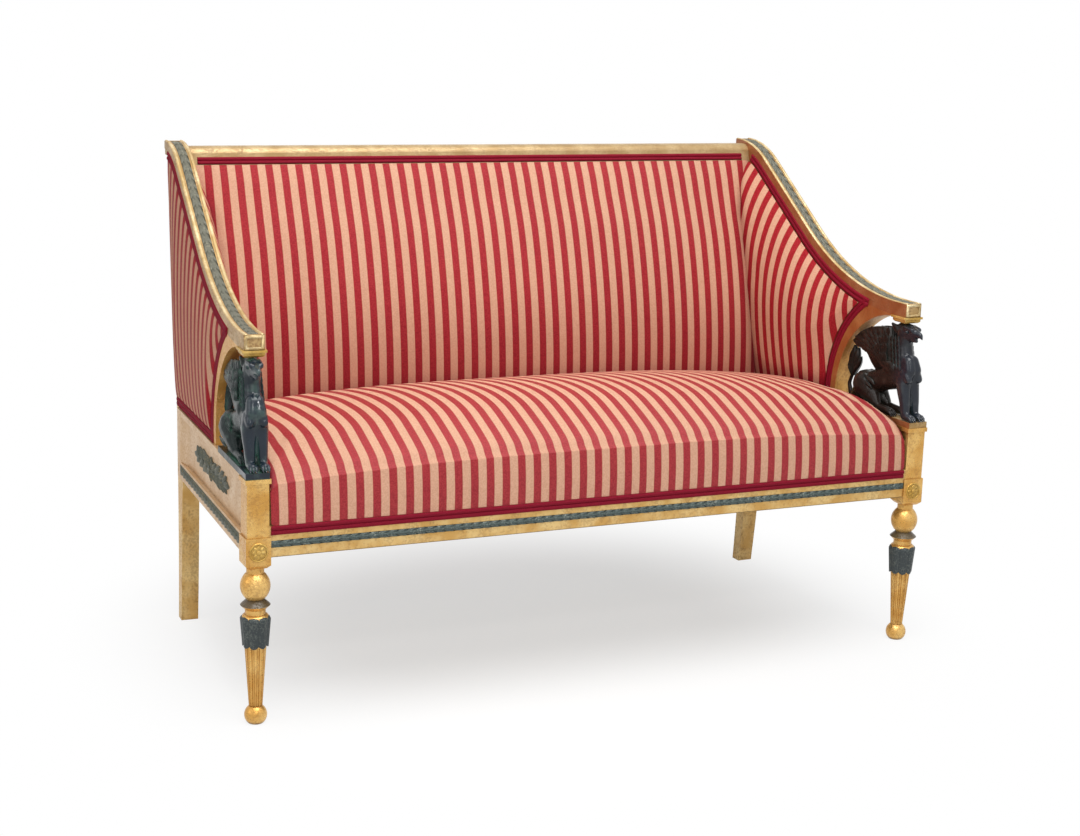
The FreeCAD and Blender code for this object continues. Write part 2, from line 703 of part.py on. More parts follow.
def sunk_panel():
    """Hollow of the panel in the outer face, with a sloped end towards the rear post."""
    low = RAIL_BOTTOM + PANEL_LOW
    beyond = SIDE_RAIL_FACE + PANEL_SUNK
    corners = [
        side_point(PANEL_FACE, 0, low),
        side_point(PANEL_FACE, POST_FRONT - PANEL_RAMP, low),
        side_point(SIDE_RAIL_FACE, POST_FRONT, low),
        side_point(beyond, POST_FRONT, low),
        side_point(beyond, 0, low),
    ]
    return prism(closed_wire(corners), V(0, 0, RAIL_TOP - PANEL_DROP - low))


def laurel_on_side(depth, proud, clear):
    """Strip let into the outer face of a side rail, from post to post."""
    low = RAIL_BOTTOM + SIDE_LAUREL_LOW
    return box((SIDE_RAIL_FACE - depth, BLOCK_W / 2 * cos(SPLAY) + clear, low + clear),
               (SIDE_RAIL_FACE + proud, POST_FRONT - clear, low + SIDE_LAUREL_H - clear))


def side_tenons(clear=0):
    """Tenons at both ends of a side rail."""
    middle = (PANEL_FACE - FRAME_W / 2) / 2
    low, high = RAIL_BOTTOM + TENON_EDGE - clear, RAIL_TOP - CORNICE_H - TENON_EDGE + clear
    near, far = middle - TENON_T / 2 - clear, middle + TENON_T / 2 + clear
    shoulder = UPPER_BLOCK_W / 2
    front = box((near, shoulder - SIDE_TENON_L - clear, low), (far, BLOCK_W, high))
    back = box((near, POST_FRONT - BLOCK_W / 2, low), (far, POST_FRONT + SIDE_TENON_L + clear, high))
    return [front, back]


def side_ornament():
    """Applied spray of leaves either way from a round boss."""
    middle_z = RAIL_TOP - ORNAMENT_DROP
    centre = side_point(PANEL_FACE, ORNAMENT_MIDDLE, middle_z)
    boss = Part.makeCylinder(ORNAMENT_H / 2, ORNAMENT_T, centre, V(1, 0, 0))
    step = ORNAMENT_L / 2 / (ORNAMENT_LEAVES + 1)
    stem_reach = ORNAMENT_L / 2 - step / 2
    stem_half = ORNAMENT_STEM_H / 2
    stem = box((PANEL_FACE, ORNAMENT_MIDDLE - stem_reach, middle_z - stem_half),
               (PANEL_FACE + ORNAMENT_STEM_T, ORNAMENT_MIDDLE + stem_reach, middle_z + stem_half))
    leaves = []
    for way in (1, -1):
        for index in range(1, ORNAMENT_LEAVES + 1):
            tip_back = ORNAMENT_MIDDLE + way * step * (index + 0.7)
            root = (tip_back - way * step, middle_z)
            for rise in (1, -1):
                leaves.append(leaf(root, (tip_back, middle_z + rise * ORNAMENT_H / 2)))
        end = ORNAMENT_MIDDLE + way * ORNAMENT_L / 2
        leaves.append(leaf((end - way * step, middle_z), (end, middle_z)))
    return fused([boss, stem] + leaves)


def leaf(root, tip):
    """Pointed leaf between two arcs, laid on the sunk panel."""
    start, end = side_point(PANEL_FACE, *root), side_point(PANEL_FACE, *tip)
    middle = (start + end) * 0.5
    across = V(0, start.z - end.z, end.y - start.y) * LEAF_SWELL
    wire = Part.Wire([arc(start, middle + across, end), arc(end, middle - across, start)])
    return prism(wire, V(ORNAMENT_LEAF_T, 0, 0))


# Rails across the settee
def front_rail_blank():
    """Show-wood below, stepped back above to take the seat's front border."""
    half = FRONT_SPAN / 2
    face = FRONT_Y - FRONT_RAIL_FACE
    back = face + FRONT_RAIL_T
    show_top = RAIL_BOTTOM + FRONT_SHOW_H
    show = box((-half, face, RAIL_BOTTOM), (half, back, show_top))
    upper = box((-half, face + REBATE, show_top), (half, back, FRONT_RAIL_TOP))
    return cut(fused([show, upper]), laurel_on_front(GROOVE, 0, 0))


def laurel_on_front(depth, proud, clear):
    half = FRONT_SPAN / 2 - BLOCK_W / 2 - clear
    face = FRONT_Y - FRONT_RAIL_FACE
    low = RAIL_BOTTOM + FRONT_LAUREL_LOW
    return box((-half, face - proud, low + clear), (half, face + depth, low + FRONT_LAUREL_H - clear))


def front_tenon(clear=0):
    """Tenon of the front rail in the right front post."""
    inner = FRONT_SPAN / 2 - UPPER_BLOCK_W / 2
    middle = FRONT_Y - FRONT_RAIL_FACE + (REBATE + FRONT_RAIL_T) / 2
    return box((inner - TENON_L, middle - TENON_T / 2 - clear, RAIL_BOTTOM + TENON_EDGE - clear),
               (inner + TENON_L + clear, middle + TENON_T / 2 + clear, FRONT_RAIL_TOP - TENON_EDGE + clear))


def back_rail_blank():
    half = plan(0, POST_FRONT)[0]
    front = back_plane(RAIL_BOTTOM) + BACK_RAIL_SETBACK
    return box((-half, front, RAIL_BOTTOM), (half, front + BACK_RAIL_T, FRONT_RAIL_TOP))


def back_tenon(clear=0):
    inner = plan(-FRAME_W / 2, POST_FRONT)[0]
    middle = back_plane(RAIL_BOTTOM) + BACK_RAIL_SETBACK + BACK_RAIL_T / 2
    half = TENON_T / 2 + clear
    low, high = RAIL_BOTTOM + TENON_EDGE - clear, FRONT_RAIL_TOP - TENON_EDGE + clear
    return box((inner - 2 * TENON_L, middle - half, low), (inner + TENON_L / 2 + clear, middle + half, high))


def crest_rail_blank():
    """Raked rail between the stiles with a rounded top front edge."""
    half = plan(0, stile_front(STILE_TOP))[0]
    low, top = CREST_LOW, CREST_TOP
    front_top = back_plane(top)
    turn = CREST_ROUND

    def at(y, z):
        return V(-half, y, z)

    shoulder = at(back_plane(top - turn), top - turn)
    crown = at(front_top + turn, top)
    centre = at(front_top + turn, top - turn)
    bulge = centre + (shoulder + crown - centre * 2).normalize() * turn
    edges = [
        line(at(back_plane(low), low), shoulder),
        arc(shoulder, bulge, crown),
        line(crown, at(back_face(top), top)),
        line(at(back_face(top), top), at(back_face(low), low)),
        line(at(back_face(low), low), at(back_plane(low), low)),
    ]
    return prism(wire_of(edges), V(2 * half, 0, 0))


def crest_tenon(clear=0):
    low = CREST_LOW + TENON_EDGE
    top = STILE_TOP - DOWEL_REACH - CLEAR
    middle_z = (low + top) / 2
    inner = plan(-FRAME_W / 2, stile_front(middle_z))[0]
    middle_y = (back_plane(middle_z) + back_face(middle_z)) / 2
    rise = (top - low) / 2 + clear
    return box((inner - 2 * TENON_L, middle_y - TENON_T / 2 - clear, middle_z - rise),
               (inner + TENON_L + clear, middle_y + TENON_T / 2 + clear, middle_z + rise))


def lower_back_levels():
    low = RAIL_TOP + LOWER_RAIL_LOW
    return low, low + LOWER_RAIL_H


def lower_back_rail_blank():
    """Raked tacking rail just above the seat."""
    low, top = lower_back_levels()
    half = plan(0, stile_front(low))[0]
    corners = [
        V(-half, back_plane(low), low),
        V(-half, back_plane(top), top),
        V(-half, back_plane(top) + LOWER_RAIL_T, top),
        V(-half, back_plane(low) + LOWER_RAIL_T, low),
    ]
    return prism(closed_wire(corners), V(2 * half, 0, 0))


def lower_back_tenon(clear=0):
    low, top = lower_back_levels()
    inner = plan(-FRAME_W / 2, stile_front(low))[0]
    middle_y = back_plane((low + top) / 2) + LOWER_RAIL_T / 2
    return box((inner - 2 * TENON_L, middle_y - TENON_T / 2 - clear, low + TENON_EDGE - clear),
               (inner + TENON_L + clear, middle_y + TENON_T / 2 + clear, top - TENON_EDGE + clear))


def seat_brace(clear=0):
    """Brace under the middle of the seat, let into the front and back rails."""
    front = FRONT_Y - FRONT_RAIL_FACE + FRONT_RAIL_T - BRACE_TENON - clear
    back = back_plane(RAIL_BOTTOM) + BACK_RAIL_SETBACK + BRACE_TENON + clear
    half = BRACE_W / 2 + clear
    low = RAIL_BOTTOM + BRACE_LIFT - clear
    return box((-half, front, low), (half, back, low + BRACE_H + 2 * clear))


# Corner blocks
def inner_corner(at_front):
    """Inner corner of the seat frame on the right, and which way the seat lies from its rail."""
    if at_front:
        rail_y = FRONT_Y - FRONT_RAIL_FACE + FRONT_RAIL_T
    else:
        rail_y = back_plane(RAIL_BOTTOM) + BACK_RAIL_SETBACK
    corner_x = plan(-FRAME_W / 2, rail_y - FRONT_Y)[0]
    return corner_x, rail_y, 1 if at_front else -1


def corner_block(at_front):
    """Three-cornered block against two rails and a post, before it is cut to fit them."""
    corner_x, rail_y, way = inner_corner(at_front)
    reach = CORNER_BLOCK
    overlap = FRAME_W / 2
    low = RAIL_BOTTOM + CORNER_BLOCK_LIFT
    corners = [
        V(corner_x - reach, rail_y, low),
        V(corner_x + overlap, rail_y, low),
        V(corner_x + overlap, rail_y + way * reach, low),
        V(corner_x, rail_y + way * reach, low),
    ]
    return prism(closed_wire(corners), V(0, 0, CORNER_BLOCK_H))


def corner_screw(at_front, clear=0):
    """Countersunk screw through the long face of a corner block into the post."""
    corner_x, rail_y, way = inner_corner(at_front)
    z = RAIL_BOTTOM + CORNER_BLOCK_LIFT + CORNER_BLOCK_H / 2
    into = V(1, -way, 0).normalize()
    face_middle = V(corner_x - CORNER_BLOCK / 2, rail_y + way * CORNER_BLOCK / 2, z)
    head = face_middle + into * (SCREW_BURY - clear)
    cone = Part.makeCone(SCREW_HEAD_D / 2 + clear, SCREW_D / 2 + clear, SCREW_HEAD_H, head, into)
    shank = Part.makeCylinder(SCREW_D / 2 + clear, SCREW_L + 2 * clear, head, into)
    screw = fused([cone, shank])
    if clear:
        mouth = Part.makeCylinder(SCREW_HEAD_D / 2 + clear, 2 * SCREW_BURY, head, into * -1)
        return fused([screw, mouth])
    return screw


# Soft pieces
def fall(x, half):
    """Share of the fall towards an arm at a place along the seat."""
    return (abs(x) / half) ** SEAT_FALL_POWER


def stations(half):
    return [half * share for share in (-1, -0.85, -0.6, -0.3, 0, 0.3, 0.6, 0.85, 1)]


def seat_section(x, half, inset):
    """Section of the domed seat: leaning front border, crown and fall to the back."""
    drop = fall(x, half)
    border_low = RAIL_BOTTOM + FRONT_SHOW_H + CLEAR
    face = FRONT_Y - FRONT_RAIL_FACE
    behind = FRONT_Y + POST_FRONT - CLEAR

    def at(y, z):
        return V(x, y, z)

    low_front = at(face + inset, border_low)
    edge = at(face + SEAT_BORDER_LEAN + inset, SEAT_EDGE_Z - SEAT_EDGE_FALL * drop - inset)
    crown = at(FRONT_Y + SEAT_CROWN_AT, SEAT_CROWN_Z - SEAT_CROWN_FALL * drop - inset)
    back = at(behind, SEAT_BACK_Z - SEAT_BACK_FALL * drop - inset)
    front_swell = V(0, 0, (crown.z - edge.z) * SEAT_FRONT_SWELL)
    back_swell = V(0, 0, (crown.z - back.z) * SEAT_BACK_SWELL)
    edges = [
        line(low_front, edge),
        arc(edge, edge + (crown - edge) * SEAT_SWELL_AT + front_swell, crown),
        arc(crown, (crown + back) * 0.5 + back_swell, back),
        line(back, at(behind, HESSIAN_TOP)),
        line(at(behind, HESSIAN_TOP), at(face + REBATE, HESSIAN_TOP)),
        line(at(face + REBATE, HESSIAN_TOP), at(face + REBATE, border_low)),
        line(at(face + REBATE, border_low), low_front),
    ]
    return Part.Wire(edges)


def seat_body(inset):
    """Domed seat lofted from arm to arm, before it is cut to its neighbours."""
    half = plan(SEAT_SIDE, 0)[0]
    body = Part.makeLoft([seat_section(x, half, inset) for x in stations(half)], True)
    beyond = to_right(box((SEAT_SIDE, -FAR, 0), (FAR, FAR, FAR)))
    return cut(body, *both(beyond))


def back_pad_section(x, half, inset):
    """Section of the back pad: flat behind, swelling in front."""
    thin = BACK_PAD_END_LOSS * fall(x, half)
    low, top = RAIL_TOP, BACK_PAD_TOP
    middle = (low + top) / 2

    def front(z, thickness):
        return V(x, back_plane(z) - WEB_T - thickness + inset, z)

    base_low = V(x, back_plane(low) - WEB_T, low)
    base_top = V(x, back_plane(top) - WEB_T, top)
    front_low = front(low, BACK_PAD_LOW_T - thin)
    front_top = front(top, BACK_PAD_TOP_T)
    edges = [
        line(base_low, base_top),
        line(base_top, front_top),
        arc(front_top, front(middle, BACK_PAD_MIDDLE_T - thin), front_low),
        line(front_low, base_low),
    ]
    return Part.Wire(edges)


def back_body(inset):
    half = plan(-FRAME_W / 2, POST_FRONT)[0]
    body = Part.makeLoft([back_pad_section(x, half, inset) for x in stations(half)], True)
    beyond = to_right(box((-FRAME_W / 2 - CLEAR, -FAR, 0), (FAR, FAR, FAR)))
    return cut(body, *both(beyond))


def braid_on_crest():
    """Two-ridged braid under the show-wood of the crest rail."""
    half = plan(-SHOW_W / 2, stile_front(STILE_TOP))[0] - CLEAR
    low = BACK_PAD_TOP + CLEAR
    start = V(-half, back_plane(low), low)
    end = V(-half, back_plane(low + BACK_BRAID_W), low + BACK_BRAID_W)
    return prism(ridged(start, end, V(0, -1, 0)), V(2 * half, 0, 0))


def ridged(start, end, outward):
    """Closed section of a braid: a flat back and two round ridges."""
    width = end - start

    def at(share, thickness):
        return start + width * share + outward * thickness

    low, middle, high = at(0, BRAID_EDGE_T), at(0.5, BRAID_HOLLOW_T), at(1, BRAID_EDGE_T)
    edges = [
        line(start, low),
        arc(low, at(0.25, BRAID_T), middle),
        arc(middle, at(0.75, BRAID_T), high),
        line(high, end),
        line(end, start),
    ]
    return Part.Wire(edges)


def braid_on_seat():
    half = FRONT_SPAN / 2 - BLOCK_W / 2 - CLEAR
    face = FRONT_Y - FRONT_RAIL_FACE
    start = V(-half, face, BRAID_LOW)
    end = V(-half, face, BRAID_LOW + BRAID_W)
    return prism(ridged(start, end, V(0, -1, 0)), V(2 * half, 0, 0))


def arm_pad(inset):
    """Inner arm pad: a thin rim and a round crown, before it is cut to the back."""
    rim_inner = -FRAME_W / 2 - HESSIAN_T
    rim_outer = rim_inner - ARM_PAD_RIM_T + inset
    floor = HESSIAN_TOP + CLEAR
    rim = arm_panel(PAD_DROP + CLEAR, PAD_R + CLEAR, floor, rim_outer, rim_inner)
    far_out = rim_inner - ARM_PAD_CROWN * 2
    room = arm_panel(PAD_DROP + ARM_BRAID_W, PAD_R + ARM_BRAID_W, floor + ARM_BRAID_W, far_out, rim_inner)
    ball_r = (ARM_PAD_SPREAD ** 2 + ARM_PAD_CROWN ** 2) / (2 * ARM_PAD_CROWN)
    crown_back = (BRAID_CENTRE + PAD_R + stile_front(RAIL_TOP)) / 2
    crown_z = (RAIL_TOP + ARM_FRONT_TOP) / 2 + ARM_PAD_LIFT
    centre = side_point(rim_outer - ARM_PAD_CROWN + ball_r + inset, crown_back, crown_z)
    crown = room.common(Part.makeSphere(ball_r, centre))
    return fused([rim, crown])


def arm_hessian():
    low = -FRAME_W / 2 - HESSIAN_T
    return arm_panel(PAD_DROP + CLEAR, PAD_R + CLEAR, HESSIAN_TOP + CLEAR, low, -FRAME_W / 2)


def arm_braid(side):
    """Braid round the arm panel under the arm and along the arch, inside or outside."""
    low, high = sorted((side * FRAME_W / 2, side * (FRAME_W / 2 + BRAID_T)))
    floor = RAIL_TOP if side > 0 else HESSIAN_TOP + CLEAR
    inner_floor = floor + ARM_BRAID_W if side > 0 else 0
    band = arm_panel(ARM_SIDE_SHOW, ARCH_BRAID_R, floor, low, high)
    return cut(band, arm_panel(PAD_DROP, PAD_R, inner_floor, low, high))


def arm_outer_cover():
    low = FRAME_W / 2
    floor = RAIL_TOP + ARM_BRAID_W + CLEAR
    return arm_panel(PAD_DROP + CLEAR, PAD_R + CLEAR, floor, low, low + OUTER_COVER_T)


def behind_stiles():
    """Everything behind the plane of the stiles' backs, for trimming the outer arm pieces."""
    top = HEIGHT + FAR
    corners = [
        side_point(-FAR, stile_back(0), 0),
        side_point(-FAR, stile_back(0), FRONT_RAIL_TOP),
        side_point(-FAR, stile_back(top), top),
        side_point(-FAR, stile_back(top) + FAR, top),
        side_point(-FAR, stile_back(top) + FAR, 0),
    ]
    return prism(closed_wire(corners), V(2 * FAR, 0, 0))


def behind_back():
    """Everything behind the front of the crest's braid, for trimming the inner arm pieces."""
    top = HEIGHT + FAR
    lead = BRAID_T + CLEAR
    corners = [
        V(-FAR, back_plane(0) - lead, 0),
        V(-FAR, back_plane(RAIL_TOP) - lead, RAIL_TOP),
        V(-FAR, back_plane(top) - lead, top),
        V(-FAR, back_plane(top) + FAR, top),
        V(-FAR, back_plane(top) + FAR, 0),
    ]
    return prism(closed_wire(corners), V(2 * FAR, 0, 0))


def back_outer_cover():
    """Cloth stretched over the back of the frame, from the seat rail to under the arm tails."""
    low, top = FRONT_RAIL_TOP, STILE_TOP - BACK_COVER_DROP
    half = plan(FRAME_W / 2, stile_back(low))[0]
    half_top = plan(FRAME_W / 2, stile_back(top))[0]
    corners = [
        V(-half, back_face(low), low),
        V(half, back_face(low), low),
        V(half_top, back_face(top), top),
        V(-half_top, back_face(top), top),
    ]
    return prism(closed_wire(corners), V(0, OUTER_COVER_T, 0))


def seat_plan_prism(inset, low, high):
    """Upright prism over the seat frame's plan, drawn in from the rails' outer faces."""
    front_y = FRONT_Y - FRONT_RAIL_FACE + inset
    back_y = back_plane(RAIL_BOTTOM) + BACK_RAIL_SETBACK + BACK_RAIL_T - inset
    front_x = plan(SIDE_RAIL_FACE - inset, front_y - FRONT_Y)[0]
    back_x = plan(SIDE_RAIL_FACE - inset, back_y - FRONT_Y)[0]
    places = [(-front_x, front_y), (front_x, front_y), (back_x, back_y), (-back_x, back_y)]
    corners = [V(x, y, low) for x, y in places]
    return prism(closed_wire(corners), V(0, 0, high - low))


def spread(low, high, count):
    """Places spread evenly between two ends, half a step in from each."""
    step = (high - low) / count
    return [low + step * (index + 0.5) for index in range(count)]


def seat_inside():
    """Inner faces of the front and back rails and of the side rails at the middle of the seat."""
    front = FRONT_Y - FRONT_RAIL_FACE + FRONT_RAIL_T
    back = back_plane(RAIL_BOTTOM) + BACK_RAIL_SETBACK
    side = plan(-FRAME_W / 2, POST_FRONT)[0]
    return front, back, side


def seat_webbing():
    """Webs tacked under the rails, both ways."""
    front, back, side = seat_inside()
    low = RAIL_BOTTOM - WEB_T
    webs = [box((-FAR, y - WEB_W / 2, low), (FAR, y + WEB_W / 2, RAIL_BOTTOM))
            for y in spread(front, back, SEAT_WEBS_ALONG)]
    webs += [box((x - WEB_W / 2, -FAR, low), (x + WEB_W / 2, FAR, RAIL_BOTTOM))
             for x in spread(-side, side, SEAT_WEBS_ACROSS)]
    lattice = fused(webs).common(seat_plan_prism(REBATE, low, RAIL_BOTTOM))
    return cut(lattice, *both(leg_in_place()))


def seat_spring(x, y):
    """Hourglass coil spring, shown as the thin skin that its turns lie on."""
    low, high = RAIL_BOTTOM, FRONT_RAIL_TOP
    middle = (low + high) / 2
    half_h = middle - low

    def bell(shrink):
        end_r, waist_r = SPRING_D / 2 - shrink, SPRING_WAIST_D / 2 - shrink
        lower = Part.makeCone(end_r, waist_r, half_h, V(x, y, low))
        upper = Part.makeCone(waist_r, end_r, half_h, V(x, y, middle))
        return fused([lower, upper])

    return cut(bell(0), bell(SPRING_WIRE))


def seat_springs():
    front, back, side = seat_inside()
    springs = []
    for y in spread(front, back, SPRING_ROWS):
        for x in spread(-side, side, SPRING_COLUMNS):
            springs.append(seat_spring(x, y))
    return Part.makeCompound(springs)


def seat_hessian():
    """Sheet over the springs, tacked on the front and back rails."""
    front = FRONT_Y - FRONT_RAIL_FACE + REBATE
    back = FRONT_Y + POST_FRONT - CLEAR
    side = plan(SEAT_SIDE, 0)[0]
    sheet = box((-side, front, FRONT_RAIL_TOP), (side, back, HESSIAN_TOP))
    beyond = to_right(box((SEAT_SIDE, -FAR, 0), (FAR, FAR, FAR)))
    return cut(sheet, *both(beyond))


def back_webbing():
    """Webs tacked to the front of the crest rail and the lower back rail, and to the stiles."""
    low = lower_back_levels()[0]
    top = CREST_LOW + CREST_H / 3
    half = plan(0, stile_front(low))[0] - FRAME_W / 2
    inner = plan(-FRAME_W / 2, stile_front(top))[0]

    def web(x0, x1, z0, z1):
        places = [(x0, z0), (x1, z0), (x1, z1), (x0, z1)]
        corners = [V(x, back_plane(z), z) for x, z in places]
        return prism(closed_wire(corners), V(0, -WEB_T, 0))

    upright = [web(x - WEB_W / 2, x + WEB_W / 2, low, top) for x in spread(-inner, inner, BACK_WEBS_UP)]
    across = [web(-half, half, z - WEB_W / 2, z + WEB_W / 2)
              for z in spread(low + LOWER_RAIL_H, CREST_LOW, BACK_WEBS_ALONG)]
    beyond = to_right(box((-FRAME_W / 2 - CLEAR, -FAR, 0), (FAR, FAR, FAR)))
    return cut(fused(upright + across), *both(beyond))


# Putting the settee together
def build_frame():
    """Posts, rails, arms and arches with their joints."""
    post_blank = rear_post_blank()
    rail = arm_rail(post_blank)
    arch = arm_arch(rail)
    cap = arm_cap()
    figure = griffin()
    plinth = griffin_plinth()
    frame_holes = dowels(frame_dowel_places(), JOINT_CLEAR)
    figure_holes = dowels(griffin_dowel_places(), JOINT_CLEAR)
    leg = leg_in_place()
    post = to_right(cut(post_blank, rail, frame_holes))
    arm = to_right(cut(rail, frame_holes, figure_holes))
    side = cut(to_right(side_rail_blank()), leg, post)
    side_joint = fused([to_right(tenon) for tenon in side_tenons()])
    side_socket = fused([to_right(tenon) for tenon in side_tenons(JOINT_CLEAR)])
    side = fused([largest(side), side_joint])
    side = cut(side, to_right(frame_holes), to_right(figure_holes))
    leg = cut(leg, side_socket, front_tenon(JOINT_CLEAR), to_right(figure_holes))
    back_sockets = [tenon(JOINT_CLEAR) for tenon in (back_tenon, crest_tenon, lower_back_tenon)]
    post_open = cut(post, side_socket, *back_sockets)

    front = fused([largest(cut(front_rail_blank(), *both(leg_in_place())))] + both(front_tenon()))
    back = fused([largest(cut(back_rail_blank(), *both(post)))] + both(back_tenon()))
    crest = fused([largest(cut(crest_rail_blank(), *both(post), *both(arm)))] + both(crest_tenon()))
    lower = fused([largest(cut(lower_back_rail_blank(), *both(post)))] + both(lower_back_tenon()))
    brace = seat_brace()
    front = cut(front, seat_brace(JOINT_CLEAR))
    back = cut(back, seat_brace(JOINT_CLEAR))

    blocks = []
    screws = []
    for at_front, rail_piece in ((True, front), (False, back)):
        hole = corner_screw(at_front, JOINT_CLEAR)
        block = largest(cut(corner_block(at_front), rail_piece, side, leg_in_place(), post))
        blocks.append(cut(block, hole))
        screws.append(corner_screw(at_front))
    leg = cut(leg, corner_screw(True, JOINT_CLEAR))
    post_open = cut(post_open, corner_screw(False, JOINT_CLEAR))
    front = cut(front, *both(corner_screw(True, JOINT_CLEAR)))
    back = cut(back, *both(corner_screw(False, JOINT_CLEAR)))
    side = cut(side, corner_screw(True, JOINT_CLEAR), corner_screw(False, JOINT_CLEAR))

    add_pair("front_leg", leg)
    add_pair("rear_post", post_open)
    add_pair("side_rail", side)
    add_pair("arm_rail", arm)
    add_pair("arm_arch", to_right(cut(arch, frame_holes)))
    add_pair("arm_cap", to_right(cut(cap, figure_holes)))
    add_pair("griffin", to_right(cut(figure, figure_holes)))
    add_pair("griffin_plinth", to_right(cut(plinth, figure_holes)))
    add("front_rail", front)
    add("back_rail", back)
    add("crest_rail", crest)
    add("lower_back_rail", lower)
    add("seat_brace", brace)
    add("corner_blocks", Part.makeCompound([copy for block in blocks for copy in both(block)]))
    add("corner_screws", Part.makeCompound([copy for screw in screws for copy in both(screw)]))
    add("frame_dowels", Part.makeCompound(both(to_right(dowels(frame_dowel_places())))))
    add("griffin_dowels", Part.makeCompound(both(to_right(dowels(griffin_dowel_places())))))


def build_ornament():
    """Let-in laurel strips, rosettes and the sprays on the side rails."""
    leg = leg_in_place()
    add("front_laurel", laurel_on_front(GROOVE, STRIP_PROUD, CLEAR))
    add_pair("side_laurel", cut(to_right(laurel_on_side(GROOVE, STRIP_PROUD, CLEAR)), leg))
    add_pair("arm_laurel", to_right(laurel_on_arm(GROOVE, STRIP_PROUD, CLEAR)))
    add_pair("rosette", rosette())
    add_pair("side_ornament", to_right(side_ornament()))


def build_upholstery():
    """Webs, springs, stuffing, covers and braid."""
    leg = leg_in_place()
    back_outer = back_body(0)
    back_inner = back_body(COVER_T)
    back_tools = [behind_back(), back_outer]
    arm_outer = cut(to_right(arm_pad(0)), *back_tools)
    arm_inner = cut(to_right(arm_pad(COVER_T)), *back_tools)
    arm_sheet = cut(to_right(arm_hessian()), *back_tools)
    behind = to_right(behind_stiles())
    stile = to_right(rear_post_blank())
    seat_tools = both(arm_outer) + both(leg) + [back_outer]
    seat_outer = cut(seat_body(0), *seat_tools)
    seat_inner = cut(seat_body(COVER_T), *seat_tools)

    add("seat_cover", largest(cut(seat_outer, seat_inner)))
    add("seat_stuffing", largest(seat_inner))
    add("seat_hessian", cut(seat_hessian(), *both(leg)))
    add("seat_springs", seat_springs())
    add("seat_webbing", seat_webbing())
    sheet_top = RAIL_BOTTOM - WEB_T
    dust_sheet = seat_plan_prism(REBATE / 2, sheet_top - DUST_COVER_T, sheet_top)
    add("dust_cover", cut(dust_sheet, *both(leg), *both(stile)))
    add("seat_braid", braid_on_seat())
    add("back_cover", largest(cut(back_outer, back_inner)))
    add("back_stuffing", largest(back_inner))
    add("back_webbing", back_webbing())
    add("back_braid", braid_on_crest())
    add("back_outer_cover", back_outer_cover())
    add_pair("arm_cover", largest(cut(arm_outer, arm_inner)))
    add_pair("arm_stuffing", largest(arm_inner))
    add_pair("arm_hessian", largest(arm_sheet))
    add_pair("arm_inner_braid", largest(cut(to_right(arm_braid(-1)), *back_tools)))
    add_pair("arm_outer_braid", largest(cut(to_right(arm_braid(1)), behind)))
    add_pair("arm_outer_cover", largest(cut(to_right(arm_outer_cover()), behind)))


build_frame()
build_ornament()
build_upholstery()

for name, shape in pieces.items():
    shape.exportStep("parts/" + name + ".step")

whole = Part.makeCompound(list(pieces.values())).BoundBox
print("nodes", len(pieces))
print("box x %.1f %.1f  y %.1f %.1f  z %.1f %.1f"
      % (whole.XMin, whole.XMax, whole.YMin, whole.YMax, whole.ZMin, whole.ZMax))
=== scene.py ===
# %% [markdown]
# # A giltwood canape, dressed piece by piece
# The settee has a gilded beech frame with swept arms, two seated griffins under the arms, and a seat,
# back and arm panels covered in crimson and tan stripes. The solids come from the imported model. This
# lesson gives them their finishes, carves the ornament and upholsters the soft pieces around them.

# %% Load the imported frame
from math import atan2, cos, pi, radians, sin, sqrt

import bmesh
import bpy
import numpy as np
from mathutils import Matrix, Vector


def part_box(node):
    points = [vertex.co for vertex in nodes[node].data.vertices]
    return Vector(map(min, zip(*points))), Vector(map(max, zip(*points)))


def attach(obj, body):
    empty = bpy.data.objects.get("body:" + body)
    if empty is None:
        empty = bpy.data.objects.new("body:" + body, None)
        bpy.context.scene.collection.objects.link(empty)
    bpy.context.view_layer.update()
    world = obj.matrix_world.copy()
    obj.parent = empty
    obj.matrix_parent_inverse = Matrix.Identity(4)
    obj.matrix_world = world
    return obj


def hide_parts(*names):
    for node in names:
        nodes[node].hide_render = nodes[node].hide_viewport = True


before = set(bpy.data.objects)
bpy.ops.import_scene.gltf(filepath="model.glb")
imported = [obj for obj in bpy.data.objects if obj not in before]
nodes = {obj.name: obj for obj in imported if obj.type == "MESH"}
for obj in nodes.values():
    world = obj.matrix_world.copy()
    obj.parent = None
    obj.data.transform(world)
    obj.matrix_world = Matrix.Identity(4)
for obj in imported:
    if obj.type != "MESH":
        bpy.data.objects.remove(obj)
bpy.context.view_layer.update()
print("pieces in the frame:", len(nodes))

# %% [markdown]
# ## Camera
# A photographer stood to the left of the settee, a little above it, with a long lens. The camera is set by
# its place and three angles, so that the edges of the frame fall close to where the photograph has them.

# %% Camera
LENS = 62.67
CAMERA_PLACE = Vector((-1.4693, -3.25155, 1.2322))
TURN, DIP, TILT = radians(24.41), radians(12.82), 0.0313

forward = Vector((sin(TURN) * cos(DIP), cos(TURN) * cos(DIP), -sin(DIP)))
level = Vector((cos(TURN), -sin(TURN), 0))
upright = level.cross(forward)
camera_right = level * cos(TILT) + upright * sin(TILT)
camera_up = upright * cos(TILT) - level * sin(TILT)

camera_data = bpy.data.cameras.new("camera")
camera_data.lens = LENS
camera = bpy.data.objects.new("camera", camera_data)
camera.matrix_world = Matrix((camera_right, camera_up, -forward)).transposed().to_4x4()
camera.location = CAMERA_PLACE
bpy.context.collection.objects.link(camera)
bpy.context.scene.camera = camera
print("camera lens", LENS, "mm")

# %% [markdown]
# ## Writing materials as sums
# A finish is a chain of shader nodes. Placing them one by one is long to read, so a value that leaves a
# node is wrapped in a small class. Adding, multiplying or comparing two such values adds the Math node for
# it, and one method makes every other node. Colours are mixed, never added, because Math nodes see only
# grey.

